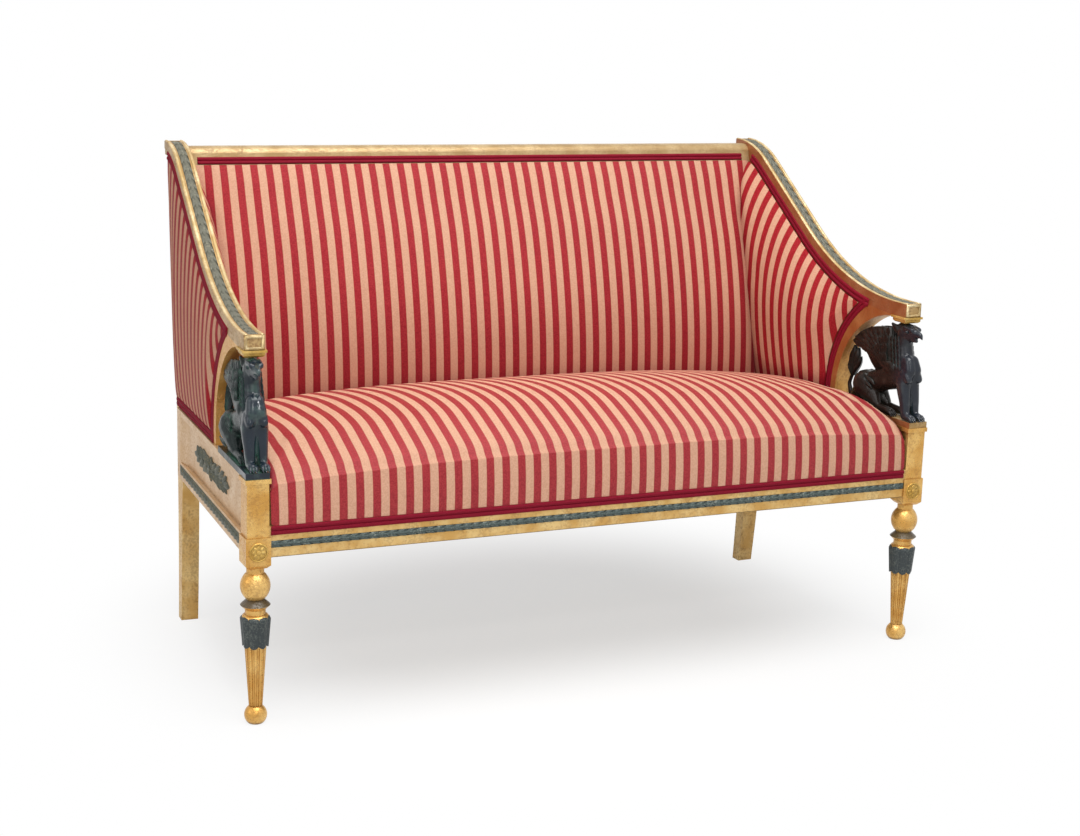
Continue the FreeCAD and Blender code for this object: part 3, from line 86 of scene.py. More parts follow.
# %% Values and finishes
def maths(operation):
    """A method that adds the Math node of one operation."""
    return lambda self, *others: self.sum(operation, self, *others)


class Signal:
    """A value on its way through a finish. Arithmetic on it adds Math nodes."""

    def __init__(self, finish, socket):
        self.finish = finish
        self.socket = socket

    def sum(self, operation, *values):
        return self.finish.node("ShaderNodeMath", {"operation": operation}, dict(enumerate(values)))

    __add__ = __radd__ = maths("ADD")
    __sub__ = maths("SUBTRACT")
    __mul__ = __rmul__ = maths("MULTIPLY")
    __truediv__ = maths("DIVIDE")
    wave = maths("SINE")
    part = maths("FRACT")
    size = maths("ABSOLUTE")
    top = maths("MAXIMUM")

    def __rsub__(self, other):
        return self.sum("SUBTRACT", other, self)

    def rise(self, low, high):
        """0 below low, 1 above high, and a smooth step between."""
        return self.finish.node("ShaderNodeMapRange", {"interpolation_type": "SMOOTHSTEP"},
                                {"Value": self, "From Min": low, "From Max": high}, "Result")

    def between(self, low, high, soft):
        return self.rise(low - soft, low + soft) * (1 - self.rise(high - soft, high + soft))


class Finish:
    """A material, or the world, and the nodes in it."""

    def __init__(self, owner):
        self.owner = owner
        owner.use_nodes = True
        self.tree = owner.node_tree
        self.tree.nodes.clear()

    def node(self, kind, settings=None, sockets=None, out=0):
        """Any node: its kind, its settings, then the values or links of its sockets."""
        made = self.tree.nodes.new(kind)
        for name, value in (settings or {}).items():
            setattr(made, name, value)
        for name, value in (sockets or {}).items():
            if isinstance(value, Signal):
                self.tree.links.new(value.socket, made.inputs[name])
            else:
                made.inputs[name].default_value = value
        return Signal(self, made.outputs[out])

    def mix(self, share, first, second):
        """Colour between two colours."""
        return self.node("ShaderNodeMix", {"data_type": "RGBA"}, {0: share, 6: first, 7: second}, 2)

    def place(self, stretch=(1, 1, 1)):
        """Place on the object, in metres, stretched along its axes."""
        where = self.node("ShaderNodeTexCoord", out="Object")
        return self.node("ShaderNodeVectorMath", {"operation": "MULTIPLY"}, {0: where, 1: stretch})

    def axis(self, name):
        where = self.node("ShaderNodeTexCoord", out="Object")
        return self.node("ShaderNodeSeparateXYZ", None, {0: where}, name)

    def noise(self, scale, detail, stretch=(1, 1, 1)):
        sockets = {"Vector": self.place(stretch), "Scale": scale, "Detail": detail}
        return self.node("ShaderNodeTexNoise", None, sockets, "Fac")

    def hollow(self, reach):
        """Near 1 in corners and cuts no deeper than reach, 0 on open faces."""
        return 1 - self.node("ShaderNodeAmbientOcclusion", {"samples": 6}, {"Distance": reach}, "AO")

    def bump(self, height, depth):
        return self.node("ShaderNodeBump", None, {"Height": height, "Distance": depth}, "Normal")

    def surface(self, sockets):
        skin = self.node("ShaderNodeBsdfPrincipled", None, sockets)
        self.close(skin)

    def close(self, skin, kind="ShaderNodeOutputMaterial"):
        end = self.tree.nodes.new(kind)
        self.tree.links.new(skin.socket, end.inputs["Surface"])


def paint(red, green, blue):
    """A colour as the eye reads it, 0 to 255, turned into the linear numbers that shaders use."""
    def linear(level):
        share = level / 255
        return share / 12.92 if share < 0.04 else ((share + 0.055) / 1.055) ** 2.4
    return linear(red), linear(green), linear(blue), 1.0


def material(name):
    return Finish(bpy.data.materials.new(name))


print("white is", paint(255, 255, 255))

# %% [markdown]
# ## Floor and light
# The settee stands on a white sweep in a studio. A wide lamp overhead and weaker ones in front and at the
# left stand for soft boxes, a small one puts points of light on ball and varnish, and the world fills the
# shadows. What the camera and the gloss see of the world is white, and of the floor mostly white.

# %% Floor and light
WORLD_FILL = 0.21
FLOOR_SIZE, FLOOR_GAP = 60, 0.0005  # metres
FLOOR_WHITE = 0.58  # share of plain white in the floor near the settee, as the camera sees it
SHADOW_REACH, FLOOR_FADE = 0.35, 0.95  # metres from the middle: floor keeps its shadow, floor is all white


def seen_directly(finish):
    """1 for the camera's own rays and for reflections, 0 for light that bounces on."""
    def path(name):
        return finish.node("ShaderNodeLightPath", out=name)
    return path("Is Camera Ray").top(path("Is Glossy Ray")).top(path("Is Transmission Ray"))


world = bpy.data.worlds.new("studio")
bpy.context.scene.world = world
sky = Finish(world)
glow = WORLD_FILL + seen_directly(sky) * (1 - WORLD_FILL)
backdrop = sky.node("ShaderNodeBackground", None, {"Color": (1, 1, 1, 1), "Strength": glow})
sky.close(backdrop, "ShaderNodeOutputWorld")

ground = material("studio_floor")
matt = ground.node("ShaderNodeBsdfDiffuse", None, {"Color": paint(240, 240, 240)})
white = ground.node("ShaderNodeEmission", None, {"Strength": 1.0})
reach = ground.node("ShaderNodeVectorMath", {"operation": "LENGTH"}, {0: ground.place()}, "Value")
paleness = FLOOR_WHITE + reach.rise(SHADOW_REACH, FLOOR_FADE) * (1 - FLOOR_WHITE)
paleness = seen_directly(ground) * paleness
ground.close(ground.node("ShaderNodeMixShader", None, {0: paleness, 1: matt, 2: white}))
bpy.ops.mesh.primitive_plane_add(size=FLOOR_SIZE, location=(0, 0, -FLOOR_GAP))
floor = bpy.context.object
floor.name = "studio_floor"
floor.data.materials.append(ground.owner)


def soft_box(name, place, aim, size, power):
    data = bpy.data.lights.new(name, "AREA")
    data.shape = "SQUARE"
    data.size = size
    data.energy = power
    lamp = bpy.data.objects.new(name, data)
    lamp.location = place
    lamp.rotation_euler = (Vector(aim) - Vector(place)).to_track_quat("-Z", "Y").to_euler()
    bpy.context.collection.objects.link(lamp)


soft_box("overhead", (-0.2, -0.85, 2.9), (0, 0, 0.4), size=2.4, power=92)
soft_box("front", (-1.8, -3.4, 1.9), (0, 0, 0.4), size=1.8, power=7)
soft_box("left", (-3.2, -0.5, 1.7), (-0.6, 0, 0.5), size=1.6, power=12)
soft_box("spark", (-1.0, -3.0, 2.5), (0, 0, 0.5), size=0.22, power=12)
view = bpy.context.scene.view_settings
view.view_transform = "Standard"

# %% [markdown]
# ## Gilding
# Gold leaf lies over a red-brown clay called bole. Two centuries of hands and dusters rub the leaf thin, so
# the bole shows in patches and dirt settles in the hollows. The finish mixes pale and deep leaf by broad
# noise, lets bole through by fine noise, and darkens what lies in corners, which stands for dirt and painted
# shade together.

# %% Gilding
DIRT_AND_SHADE = paint(70, 48, 26)


def gilding(name, leaf, pale, bole, worn=0.35, dirt_and_shade=0.55, dark_band=None, red_inside=False, polish=0.42):
    """Leaf over bole: dark_band is a range of heights left black, red_inside reddens what looks inwards."""
    finish = material(name)
    cloud = finish.noise(24, 5)
    fleck = finish.noise(240, 5)
    streak = finish.noise(38, 4, (1, 1, 0.35))
    rubbed = (fleck * 0.6 + cloud * 0.2 + streak * 0.3).rise(0.52, 0.68)
    hollow = finish.hollow(0.012)
    colour = finish.mix(cloud.rise(0.35, 0.68), leaf, pale)
    colour = finish.mix(rubbed * worn, colour, bole)
    # dark corners: dirt together with painted shade
    colour = finish.mix(hollow.rise(0.25, 0.8) * dirt_and_shade, colour, DIRT_AND_SHADE)
    shine = polish - rubbed * 0.3
    if dark_band:
        band = finish.axis("Z").between(*dark_band, 0.0006)
        colour = finish.mix(band * 0.88, colour, paint(48, 50, 46))
        shine = shine * (1 - band)
    if red_inside:
        normal = finish.node("ShaderNodeNewGeometry", out="Normal")
        facing = finish.node("ShaderNodeSeparateXYZ", None, {0: normal}, "X")
        inward = (facing * finish.axis("X") * -1).rise(0.25, 0.5) * (0.9 - cloud * 0.35)
        colour = finish.mix(inward, colour, paint(150, 74, 40))
    dullness = 0.42 - polish * 0.3 + rubbed * 0.25 + fleck * 0.15
    finish.surface({"Base Color": colour, "Metallic": shine, "Roughness": dullness,
                    "Normal": finish.bump(fleck * 0.5 + rubbed * -0.6 + streak * 0.4, 0.0006)})
    return finish.owner


gold_pale = gilding("gold_leaf_crest", paint(164, 134, 88), paint(190, 164, 120), paint(138, 104, 66), 0.3)
gold_rail = gilding("gold_leaf_rail", paint(206, 160, 86), paint(232, 198, 132), paint(140, 94, 46), 0.32)
gold_side = gilding("gold_leaf_side", paint(206, 168, 122), paint(222, 190, 152), paint(170, 122, 78), 0.3)
gold_arm = gilding("gold_leaf_arm", paint(164, 128, 72), paint(200, 168, 116), paint(120, 76, 44), 0.5,
                   red_inside=True)
gold_arch = gilding("gold_leaf_arch", paint(206, 150, 72), paint(226, 178, 102), paint(150, 84, 42), 0.3,
                    dirt_and_shade=0.4, red_inside=True)
gold_block = gilding("gold_leaf_block", paint(190, 148, 62), paint(222, 188, 108), paint(150, 110, 50))
print("gilding finishes:", 6)

# %% [markdown]
# ## Bronzed and painted carving
# The griffins are painted almost black, like old bronze, and varnished, with green in the hollows. The
# laurel bands are a lighter grey green and the leaf collars a darker one, with a pale tone rubbed through
# where the paint has worn. In the hollows of the green paint a near black is painted in as painted shade.

# %% Bronze and green paint
CHEST_START, CHEST_END = -0.315, -0.262  # metres from front to back, where the chest's tone gives way


def bronzing(name, dark, green, show_green, chest):
    """Old bronze paint with green in its hollows, bluer towards the chest at the front."""
    finish = material(name)
    ahead = 1 - finish.axis("Y").rise(CHEST_START, CHEST_END)
    cloud = finish.noise(55, 4)
    fleck = finish.noise(260, 4)
    hollow = finish.hollow(0.01)
    tint = (hollow.rise(0.15, 0.7) * 0.8 + cloud.rise(0.5, 0.72) * 0.2) * show_green
    colour = finish.mix(tint, finish.mix(ahead, dark, chest), green)
    finish.surface({"Base Color": colour, "Roughness": 0.16 + cloud * 0.3, "Specular IOR Level": 0.16,
                    "Coat Weight": cloud.rise(0.5, 0.65) * 0.3 + ahead * 0.5, "Coat Roughness": 0.12,
                    "Normal": finish.bump(fleck * 0.5 + cloud, 0.0008)})
    return finish.owner


def green_paint(name, paint_tone, rubbed_tone, rubbed_share):
    finish = material(name)
    cloud = finish.noise(40, 4)
    fleck = finish.noise(300, 5)
    hollow = finish.hollow(0.006)
    rubbed = (fleck * 0.7 + cloud * 0.3 - hollow * 0.3).rise(0.5, 0.62) * rubbed_share
    # painted shade: hollows of the paint darkened almost to black
    colour = finish.mix(hollow.rise(0.2, 0.8) * 0.75, paint_tone, paint(24, 30, 30))
    colour = finish.mix(rubbed, colour, rubbed_tone)
    finish.surface({"Base Color": colour, "Roughness": 0.42 + fleck * 0.2, "Metallic": rubbed * 0.3,
                    "Normal": finish.bump(fleck, 0.0005)})
    return finish.owner


bronze_left = bronzing("bronze_left", paint(28, 38, 38), paint(92, 136, 118), 1.0, paint(22, 34, 46))
bronze_right = bronzing("bronze_right", paint(34, 26, 22), paint(56, 78, 72), 0.5, paint(27, 32, 42))
laurel_front = green_paint("laurel_front", paint(78, 92, 88), paint(196, 200, 186), 0.45)
laurel_arm = green_paint("laurel_arm", paint(100, 99, 85), paint(172, 166, 142), 0.5)
laurel_side = green_paint("laurel_side", paint(82, 86, 72), paint(190, 168, 118), 0.4)
collar_green = green_paint("leaf_collar", paint(46, 54, 56), paint(118, 124, 116), 0.4)
print("painted finishes:", 6)

# %% [markdown]
# ## Striped cloth, braid and plain stuffs
# The cover is a satin of crimson and tan stripes, about thirty millimetres from one crimson stripe to the
# next. The stripe is worked out from the place on the settee, so that it runs unbroken from the back of the
# seat over the front edge. Crimson is smooth and catches light, tan is ribbed and dull. The cloth is painted
# darker in creases and low on the back, as painted shade.

# %% Cloth
STRIPE_PITCH = 0.0298
CRIMSON_SHARE, STRIPE_EDGE = 0.49, 0.025
RIB_TURNS, THREAD_TURNS = 5200, 7000  # radians in each metre
# painted shade: the back's cloth is darker below these heights, fading out between them
SHADE_LOW, SHADE_HIGH = 0.42, 0.68  # metres above the floor


def striped(name, axis, first, gloss, low_shade=0.0):
    """Stripes across one axis.

    first is the middle of one crimson stripe, and the last argument is how much painted shade darkens the
    cloth low down.
    """
    finish = material(name)
    across = (finish.axis(axis) - (first - STRIPE_PITCH / 2)) / STRIPE_PITCH
    off_middle = (across.part() - 0.5).size()
    crimson = 1 - off_middle.rise(CRIMSON_SHARE / 2 - STRIPE_EDGE, CRIMSON_SHARE / 2 + STRIPE_EDGE)
    slub = finish.noise(420, 3)
    fade = finish.noise(7, 3)
    ribs = (finish.axis("Z") * RIB_TURNS + finish.axis("Y") * RIB_TURNS).wave()
    threads = (finish.axis("X") * THREAD_TURNS).wave()
    bright = fade * 0.4 + slub.rise(0.35, 0.65) * 0.6
    tan = finish.mix(bright, paint(212, 158, 130), paint(232, 184, 155))
    red = finish.mix(bright, paint(138, 20, 32), paint(180, 52, 57))
    # painted shade: the cloth darkens in creases, found by ambient occlusion, and low on the back
    crease_shade = finish.hollow(0.05)
    painted_shade = ((1 - finish.axis("Z").rise(SHADE_LOW, SHADE_HIGH)) * low_shade).top(crease_shade.rise(0.22, 0.65) * 0.7)
    tan = finish.mix(painted_shade, tan, paint(150, 78, 66))
    red = finish.mix(painted_shade, red, paint(92, 4, 20))
    weave = finish.bump(ribs * (0.35 - crimson * 0.25) + threads * 0.2 + slub * 0.5, 0.00035)
    ribbed = finish.node("ShaderNodeBsdfPrincipled", None, {
        "Base Color": tan, "Roughness": 0.85, "Specular IOR Level": gloss * 0.4, "Normal": weave})
    satin = finish.node("ShaderNodeBsdfPrincipled", None, {
        "Base Color": red, "Roughness": 0.42, "Specular IOR Level": gloss, "Sheen Weight": gloss,
        "Sheen Roughness": 0.45, "Sheen Tint": paint(255, 140, 140), "Normal": weave})
    finish.close(finish.node("ShaderNodeMixShader", None, {0: crimson, 1: ribbed, 2: satin}))
    return finish.owner


def woven(name, light, dark, pitch, rough=0.8):
    """Plain basket weave in two tones, with its threads in relief."""
    finish = material(name)
    turns = 2 * pi / pitch
    warp = (finish.axis("X") * turns).wave()
    weft = ((finish.axis("Y") + finish.axis("Z")) * turns).wave()
    slub = finish.noise(300, 4)
    threads = warp * weft * 0.5 + 0.5
    colour = finish.mix(threads * 0.6 + slub * 0.4, dark, light)
    finish.surface({"Base Color": colour, "Roughness": rough, "Specular IOR Level": 0.12,
                    "Normal": finish.bump(threads + slub * 0.5, pitch / 5)})
    return finish.owner


stripes_seat = striped("striped_seat", "X", 0.003, 0.3)
stripes_back = striped("striped_back", "X", 0.0203, 0.15, 0.45)
stripes_arm = striped("striped_arm", "Y", 0.010, 0.02)
braid_red = woven("crimson_braid", paint(158, 28, 52), paint(108, 10, 30), 0.0016, 0.6)
jute = woven("jute", paint(176, 148, 104), paint(128, 102, 66), 0.002)
hessian = woven("hessian", paint(190, 164, 120), paint(146, 120, 82), 0.0016)
print("cloths: 6")

# %% [markdown]
# ## Bare wood and steel
# Rails inside and behind are plain beech with a fine grain along their length. The springs are coppered
# wire and the screws plain steel.

# %% Beech and steel
def beech(name, stretch):
    finish = material(name)
    figure = finish.noise(26, 5, stretch)
    flecks = finish.noise(180, 3, stretch)
    colour = finish.mix(figure.rise(0.35, 0.65), paint(186, 146, 104), paint(214, 178, 136))
    colour = finish.mix(flecks.rise(0.6, 0.7) * 0.5, colour, paint(150, 108, 70))
    finish.surface({"Base Color": colour, "Roughness": 0.6 + figure * 0.15,
                    "Normal": finish.bump(flecks + figure, 0.0003)})
    return finish.owner


def wire(name, bright, dull):
    finish = material(name)
    stain = finish.noise(90, 4)
    finish.surface({"Base Color": finish.mix(stain, bright, dull), "Metallic": 0.9,
                    "Roughness": 0.3 + stain * 0.3, "Normal": finish.bump(stain, 0.0002)})
    return finish.owner


beech_across = beech("beech_across", (0.12, 1, 1))
beech_along = beech("beech_along", (1, 0.12, 1))
beech_up = beech("beech_up", (1, 1, 0.12))
copper_wire = wire("coppered_wire", paint(150, 110, 90), paint(96, 84, 80))
steel = wire("screw_steel", paint(150, 150, 152), paint(104, 102, 100))
print("bare stuffs: 5")

# %% [markdown]
# ## Finishing the solids of the frame
# The solids keep their shape. Each takes its finish, and all but dowels and screws take a narrow bevel on
# sharp edges, because worn gilding is never knife sharp and a rounded edge catches a line of light.

# %% Dress the solids
LEG_RING = (0.2105, 0.2212)  # blackened upper face of the leg's ring
gold_leg = gilding("gold_leaf_leg", paint(206, 154, 76), paint(234, 192, 116), paint(128, 80, 38), 0.3,
                   dirt_and_shade=0.65, dark_band=LEG_RING, polish=0.68)


def dress(names, finish, edge=0.0008):
    for name in names:
        thing = nodes[name]
        thing.data.materials.clear()
        thing.data.materials.append(finish)
        if edge:
            soften = thing.modifiers.new("worn edges", "BEVEL")
            soften.width = edge
            soften.segments = 2
            soften.limit_method = "ANGLE"
            soften.angle_limit = radians(38)


def pair(name):
    return [name + "_left", name + "_right"]


dress(pair("front_leg"), gold_leg)
dress(pair("rear_post"), gold_rail)
dress(pair("side_rail"), gold_side)
dress(pair("arm_rail"), gold_arm)
dress(pair("arm_arch"), gold_arch)
dress(pair("arm_cap"), gold_block)
dress(["crest_rail"], gold_pale)
dress(["front_rail"], gold_rail)
dress(["griffin_plinth_left"], bronze_left)
dress(["griffin_plinth_right"], gold_arm)
dress(["back_rail", "lower_back_rail"], beech_across)
dress(["seat_brace", "corner_blocks"], beech_along)
dress(["frame_dowels", "griffin_dowels"], beech_up, 0)
dress(["corner_screws"], steel, 0)
print("dressed solids:", sum(1 for thing in nodes.values() if thing.modifiers))

# %% [markdown]
# ## Lines of the side frame
# Arms, braid and laurel all follow one line: level at the front, a hollow sweep, a straight rise and a
# round crown at the back. The two side frames lean in towards the back by about two degrees. Everything on
# them is drawn in the frame's own measures: how far out from its middle, how far behind the leg, how high.

# %% Side frame
MM = 0.001
SIDES = ((-1, "left"), (1, "right"))
FRONT_Y = -316.25
ARM_X = 648.5
SPLAY = atan2(22.0, 658.0)
ARM_FRONT, ARM_END = 15.0, 657.4
ARM_FRONT_TOP, ARM_BACK_TOP = 668.0, 930.0
SWEEP_START, SWEEP_END = 45.0, 652.6
ARM_STRAIGHT, CROWN_R = 224.0, 188.5
RUN, LIFT = SWEEP_END - SWEEP_START, ARM_BACK_TOP - ARM_FRONT_TOP
SWEEP_R = (RUN ** 2 + LIFT ** 2 - ARM_STRAIGHT ** 2) / (2 * LIFT) - CROWN_R
SWEEP_ANGLE = 2 * atan2(LIFT, RUN + ARM_STRAIGHT)


def on_side(hand, out, back, z):
    """Place in the room, in metres, of a point on the right (1) or left (-1) side frame."""
    x = ARM_X + out * cos(SPLAY) - back * sin(SPLAY)
    y = FRONT_Y + out * sin(SPLAY) + back * cos(SPLAY)
    return Vector((hand * x * MM, y * MM, z * MM))


def side_way(hand, out, back, z):
    """The same as a direction, for a step of so many millimetres."""
    return on_side(hand, out, back, z) - on_side(hand, 0, 0, 0)


def arm_line(drop, step):
    """Evenly spaced (back, height, slope) along the arm's top line, moved down by drop."""
    angles = np.linspace(0, SWEEP_ANGLE, 60)
    sweep_r, crown_r = SWEEP_R + drop, CROWN_R - drop
    sweep_z, crown_z = ARM_FRONT_TOP + SWEEP_R, ARM_BACK_TOP - CROWN_R
    line = [(ARM_FRONT, ARM_FRONT_TOP - drop, 0)]
    line += [(SWEEP_START + sweep_r * sin(a), sweep_z - sweep_r * cos(a), a) for a in angles]
    line += [(SWEEP_END - crown_r * sin(a), crown_z + crown_r * cos(a), a) for a in angles[::-1]]
    line.append((ARM_END, ARM_BACK_TOP - drop, 0))
    return evenly(line, step)


def evenly(points, step):
    """The same line with points every step, ends kept; other columns are carried along."""
    table = np.array(points, float)
    runs = np.hypot(np.diff(table[:, 0]), np.diff(table[:, 1]))
    length = np.concatenate([[0], np.cumsum(runs)])
    places = np.linspace(0, length[-1], max(2, int(length[-1] / step) + 1))
    return np.stack([np.interp(places, length, column) for column in table.T], axis=1)


def arm_height(back, drop):
    line = arm_line(drop, 4)
    return float(np.interp(back, line[:, 0], line[:, 1]))


print("arm line length %.0f mm" % (len(arm_line(0, 1)) - 1))

# %% [markdown]
# ## Making a piece
# A piece is a list of corners and faces. A small workshop class gathers them from patches, sweeps and
# carved leaves, and hands over one object that rides on the frame.

# %% Workshop helpers
class Work:
    """Corners and faces of one piece as it grows."""

    def __init__(self):
        self.points = []
        self.faces = []

    def patch(self, rows):
        """Grid of points: a list of equally long rows."""
        start, wide = len(self.points), len(rows[0])
        for row in rows:
            self.points.extend(row)
        for i in range(len(rows) - 1):
            for j in range(wide - 1):
                a = start + i * wide + j
                self.faces.append((a, a + 1, a + wide + 1, a + wide))

    def mesh(self, name):
        data = bpy.data.meshes.new(name)
        data.from_pydata([tuple(point) for point in self.points], [], self.faces)
        shell = bmesh.new()
        shell.from_mesh(data)
        bmesh.ops.remove_doubles(shell, verts=shell.verts, dist=1e-6)
        bmesh.ops.recalc_face_normals(shell, faces=shell.faces)
        shell.to_mesh(data)
        shell.free()
        return data

    def piece(self, name, finish, slot, replaced=()):
        return set_up(name, self.mesh(name), finish, replaced)


def set_up(name, data, finish, replaced=()):
    """Finished object on the frame, standing for the solids that it replaces."""
    data.materials.append(finish)
    data.shade_smooth()
    thing = bpy.data.objects.new(name, data)
    bpy.context.collection.objects.link(thing)
    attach(thing, "root")
    if replaced:
        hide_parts(*replaced)
    return thing


def sweep(work, stations, section):
    """Closed section carried along stations of (place, across, outward), with its ends filled."""
    rows = []
    for index, (place, across, outward) in enumerate(stations):
        ring = [place + across * u + outward * v for u, v in section(index)]
        rows.append(ring + ring[:1])
    work.patch(rows)
    for row in (rows[0], rows[-1]):
        start = len(work.points)
        work.points.extend(row[:-1])
        work.faces.append(tuple(range(start, start + len(row) - 1)))


def leaf(work, put, length, width, rise, steps=6, blunt=0.75):
    """Carved leaf with a rib, drawn on a surface by put(along, across, high).

    blunt moves the widest part: at 1 it is half way, below 1 nearer the root, above 1 nearer the tip.
    """
    rows = []
    for i in range(steps + 1):
        t = i / steps
        half = width / 2 * sin(pi * (0.04 + 0.96 * t) ** blunt) + width * 0.01
        crown = rise * (0.25 + 0.75 * sin(pi * min(1, 0.15 + 0.8 * t)))
        row = [(-1, 0), (-0.55, 0.9), (-0.12, 0.75), (0, 1.05), (0.12, 0.75), (0.55, 0.9), (1, 0)]
        rows.append([put(t * length, share * half, crown * high) for share, high in row])
    work.patch(rows)


def grid(us, vs, put):
    """Rows of points for a patch, one row for each u."""
    return [[put(u, v) for v in vs] for u in us]


def panel(rows):
    """A piece begun from one patch."""
    work = Work()
    work.patch(rows)
    return work


def turned(put, angle, start=0.0):
    """The same surface for a leaf that grows at an angle, and from start along its own length."""
    def on_leaf(u, v, h):
        u = u + start
        return put(u * cos(angle) - v * sin(angle), u * sin(angle) + v * cos(angle), h)
    return on_leaf


print("helpers ready")

# %% [markdown]
# ## Laurel bands
# Bands of overlapping laurel leaves run along the front rail, the side rails and the tops of the arms. On
# the real piece they are carved strips let into a groove. Each strip here is a thin bed with groups of
# three leaves laid along it, every group partly over the next, so that light breaks on real edges.

# %% Laurel bands
def laurel(name, finish, replaced, put, length, width, step, bed_depth, toward=1):
    """Band of leaf groups; put(along, across, high) places a point, all in millimetres."""
    work = Work()
    stops = np.linspace(0, length, max(2, int(length / 12)))
    half = width / 2
    for across in (-half, half):
        work.patch([[put(s, across, -bed_depth), put(s, across, 0)] for s in stops])
    work.patch([[put(s, share * half, 0.35 * (share == 0)) for share in (-1, 0, 1)] for s in stops])
    work.patch([[put(s, share * half, -bed_depth) for share in (-1, 1)] for s in stops])
    groups = int(length / step) - 1
    for index in range(groups):
        root = (index + 0.5) * length / (groups + 0.5)
        for angle, lift in ((0.42, 0), (-0.42, 0), (0, 0.45)):
            def on_band(u, v, h, root=root, lift=lift):
                along = root + toward * (u - step * 0.3)
                return put(min(max(along, 0), length), min(max(v, -half), half), h + lift)
            leaf(work, turned(on_band, angle), step * 1.15, width * 0.5, width * 0.17)
    work.piece(name, finish, "verdigris_wood", replaced)


def box_of(node):
    low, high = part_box(node)
    return Vector(low) / MM, Vector(high) / MM


front_low, front_high = box_of("front_laurel")
front_middle = (front_low + front_high) / 2


def on_front(along, across, high):
    return Vector((front_low.x + along, front_low.y + 1.0 - high, front_middle.z + across)) * MM


laurel("front_laurel_leaves", laurel_front, ["front_laurel"], on_front,
       front_high.x - front_low.x, width=11.4, step=17, bed_depth=3)

SIDE_FACE, SIDE_LAUREL_Z = 21.5, 316.0
SIDE_LAUREL_START, SIDE_LAUREL_END = 24.0, 525.0
for hand, side in SIDES:
    def on_rail(along, across, high, hand=hand):
        return on_side(hand, SIDE_FACE + high, SIDE_LAUREL_START + along, SIDE_LAUREL_Z + across)

    laurel("side_laurel_leaves_" + side, laurel_side, ["side_laurel_" + side], on_rail,
           SIDE_LAUREL_END - SIDE_LAUREL_START, width=17, step=22, bed_depth=2.8)

    crest = arm_line(0, 2.0)[3:-3]
    crest_length = 2.0 * (len(crest) - 1)

    def on_arm(along, across, high, hand=hand):
        places = np.linspace(0, crest_length, len(crest))
        back, z, slope = (np.interp(along, places, column) for column in crest.T)
        return on_side(hand, across, back - (high - 1.2) * sin(slope), z + (high - 1.2) * cos(slope))

    laurel("arm_laurel_leaves_" + side, laurel_arm, ["arm_laurel_" + side], on_arm,
           crest_length, width=16.2, step=24, bed_depth=1.7, toward=-1)
print("laurel bands: 5")

# %% [markdown]
# ## Edges of the arms
# A gilder burnishes the two raised edges of the arm and the border of its square end until they shine. They
# are separate beads swept along the arm, and a mitred frame on the end face. Their leaf is painted paler as
# a painted highlight, and their corners darker as dirt and painted shade.

# %% Arm beads
# painted highlight: the beads' leaf is paler than the rest of the gilding; their corners darken strongly as
# painted shade
bead_gold_highlit = gilding("gold_leaf_bead_highlit", paint(192, 160, 102), paint(232, 212, 166), paint(132, 98, 54),
                    dirt_and_shade=0.9)
BEAD_OUT, BEAD_W, BEAD_H = 13.9, 5.4, 2.0
END_FACE_Z = ARM_FRONT_TOP - 13.0
FRAME_OUT, FRAME_IN, FRAME_PROUD = (16.6, 12.2), (12.0, 7.6), 1.6


def bead_section(index):
    """The same at every station: a half round with a shallow foot."""
    top = [(BEAD_W / 2 * -cos(a), BEAD_H * sin(a)) for a in np.linspace(0, pi, 7)]
    return top + [(BEAD_W / 2, -0.6), (-BEAD_W / 2, -0.6)]


for hand, side in SIDES:
    work = Work()
    for middle in (-BEAD_OUT, BEAD_OUT):
        stations = []
        for back, z, slope in arm_line(0, 5.0):
            place = on_side(hand, middle, back, z - 0.3)
            outward = side_way(hand, 0, -sin(slope), cos(slope))
            stations.append((place, side_way(hand, 1, 0, 0), outward))
        sweep(work, stations, bead_section)
    rows = []
    steps = ((FRAME_OUT, 0), (FRAME_OUT, FRAME_PROUD), (FRAME_IN, FRAME_PROUD), (FRAME_IN, 0))
    for (half_w, half_h), ahead in steps:
        corners = [(u * half_w, v * half_h) for u, v in ((-1, -1), (1, -1), (1, 1), (-1, 1), (-1, -1))]
        rows.append([on_side(hand, u, ARM_FRONT + 0.2 - ahead, END_FACE_Z + v) for u, v in corners])
    work.patch(rows)
    work.piece("arm_beads_" + side, bead_gold_highlit, "gilt_wood")
print("arm beads: 2")

# %% [markdown]
# ## Leaf collars and rosettes of the front legs
# Under the ring each turned leg wears a collar of carved water leaves with a scalloped lower edge. It is a
# turned shell whose radius swells at every leaf and whose lower edge rises between them. The rosette on the
# block above is a flower of eight petals inside a bead.

# %% Leg carving
LEG_X = 652.0
COLLAR_LOW, COLLAR_TOP = 137.0, 195.0
COLLAR_LOW_R, COLLAR_HIGH_R = 19.55, 23.6
COLLAR_LEAVES = 8
SCALLOP = 4.0
PETALS = 8
ROSETTE_R = 16.2


def collar_point(hand, angle, t):
    """Point on the collar of one leg, t running from the scalloped edge up to the ring."""
    lobe = abs((angle * COLLAR_LEAVES / (2 * pi)) % 1 - 0.5) * 2
    low = COLLAR_LOW + SCALLOP * lobe ** 2
    z = low + (COLLAR_TOP - low) * t
    rise = (z - COLLAR_LOW) / (COLLAR_TOP - COLLAR_LOW)
    radius = COLLAR_LOW_R + (COLLAR_HIGH_R - COLLAR_LOW_R) * min(1, rise / 0.87)
    shoulder = max(0, (rise - 0.86) / 0.14)
    rib = 0.7 * max(0, 1 - lobe / 0.16)
    relief = 0.15 + (1.9 * sqrt(max(0, 1 - lobe ** 2)) + rib) * (1 - shoulder)
    radius = radius * (1 - 0.26 * shoulder ** 2) + relief
    return Vector((hand * LEG_X + radius * cos(angle), FRONT_Y + radius * sin(angle), z)) * MM


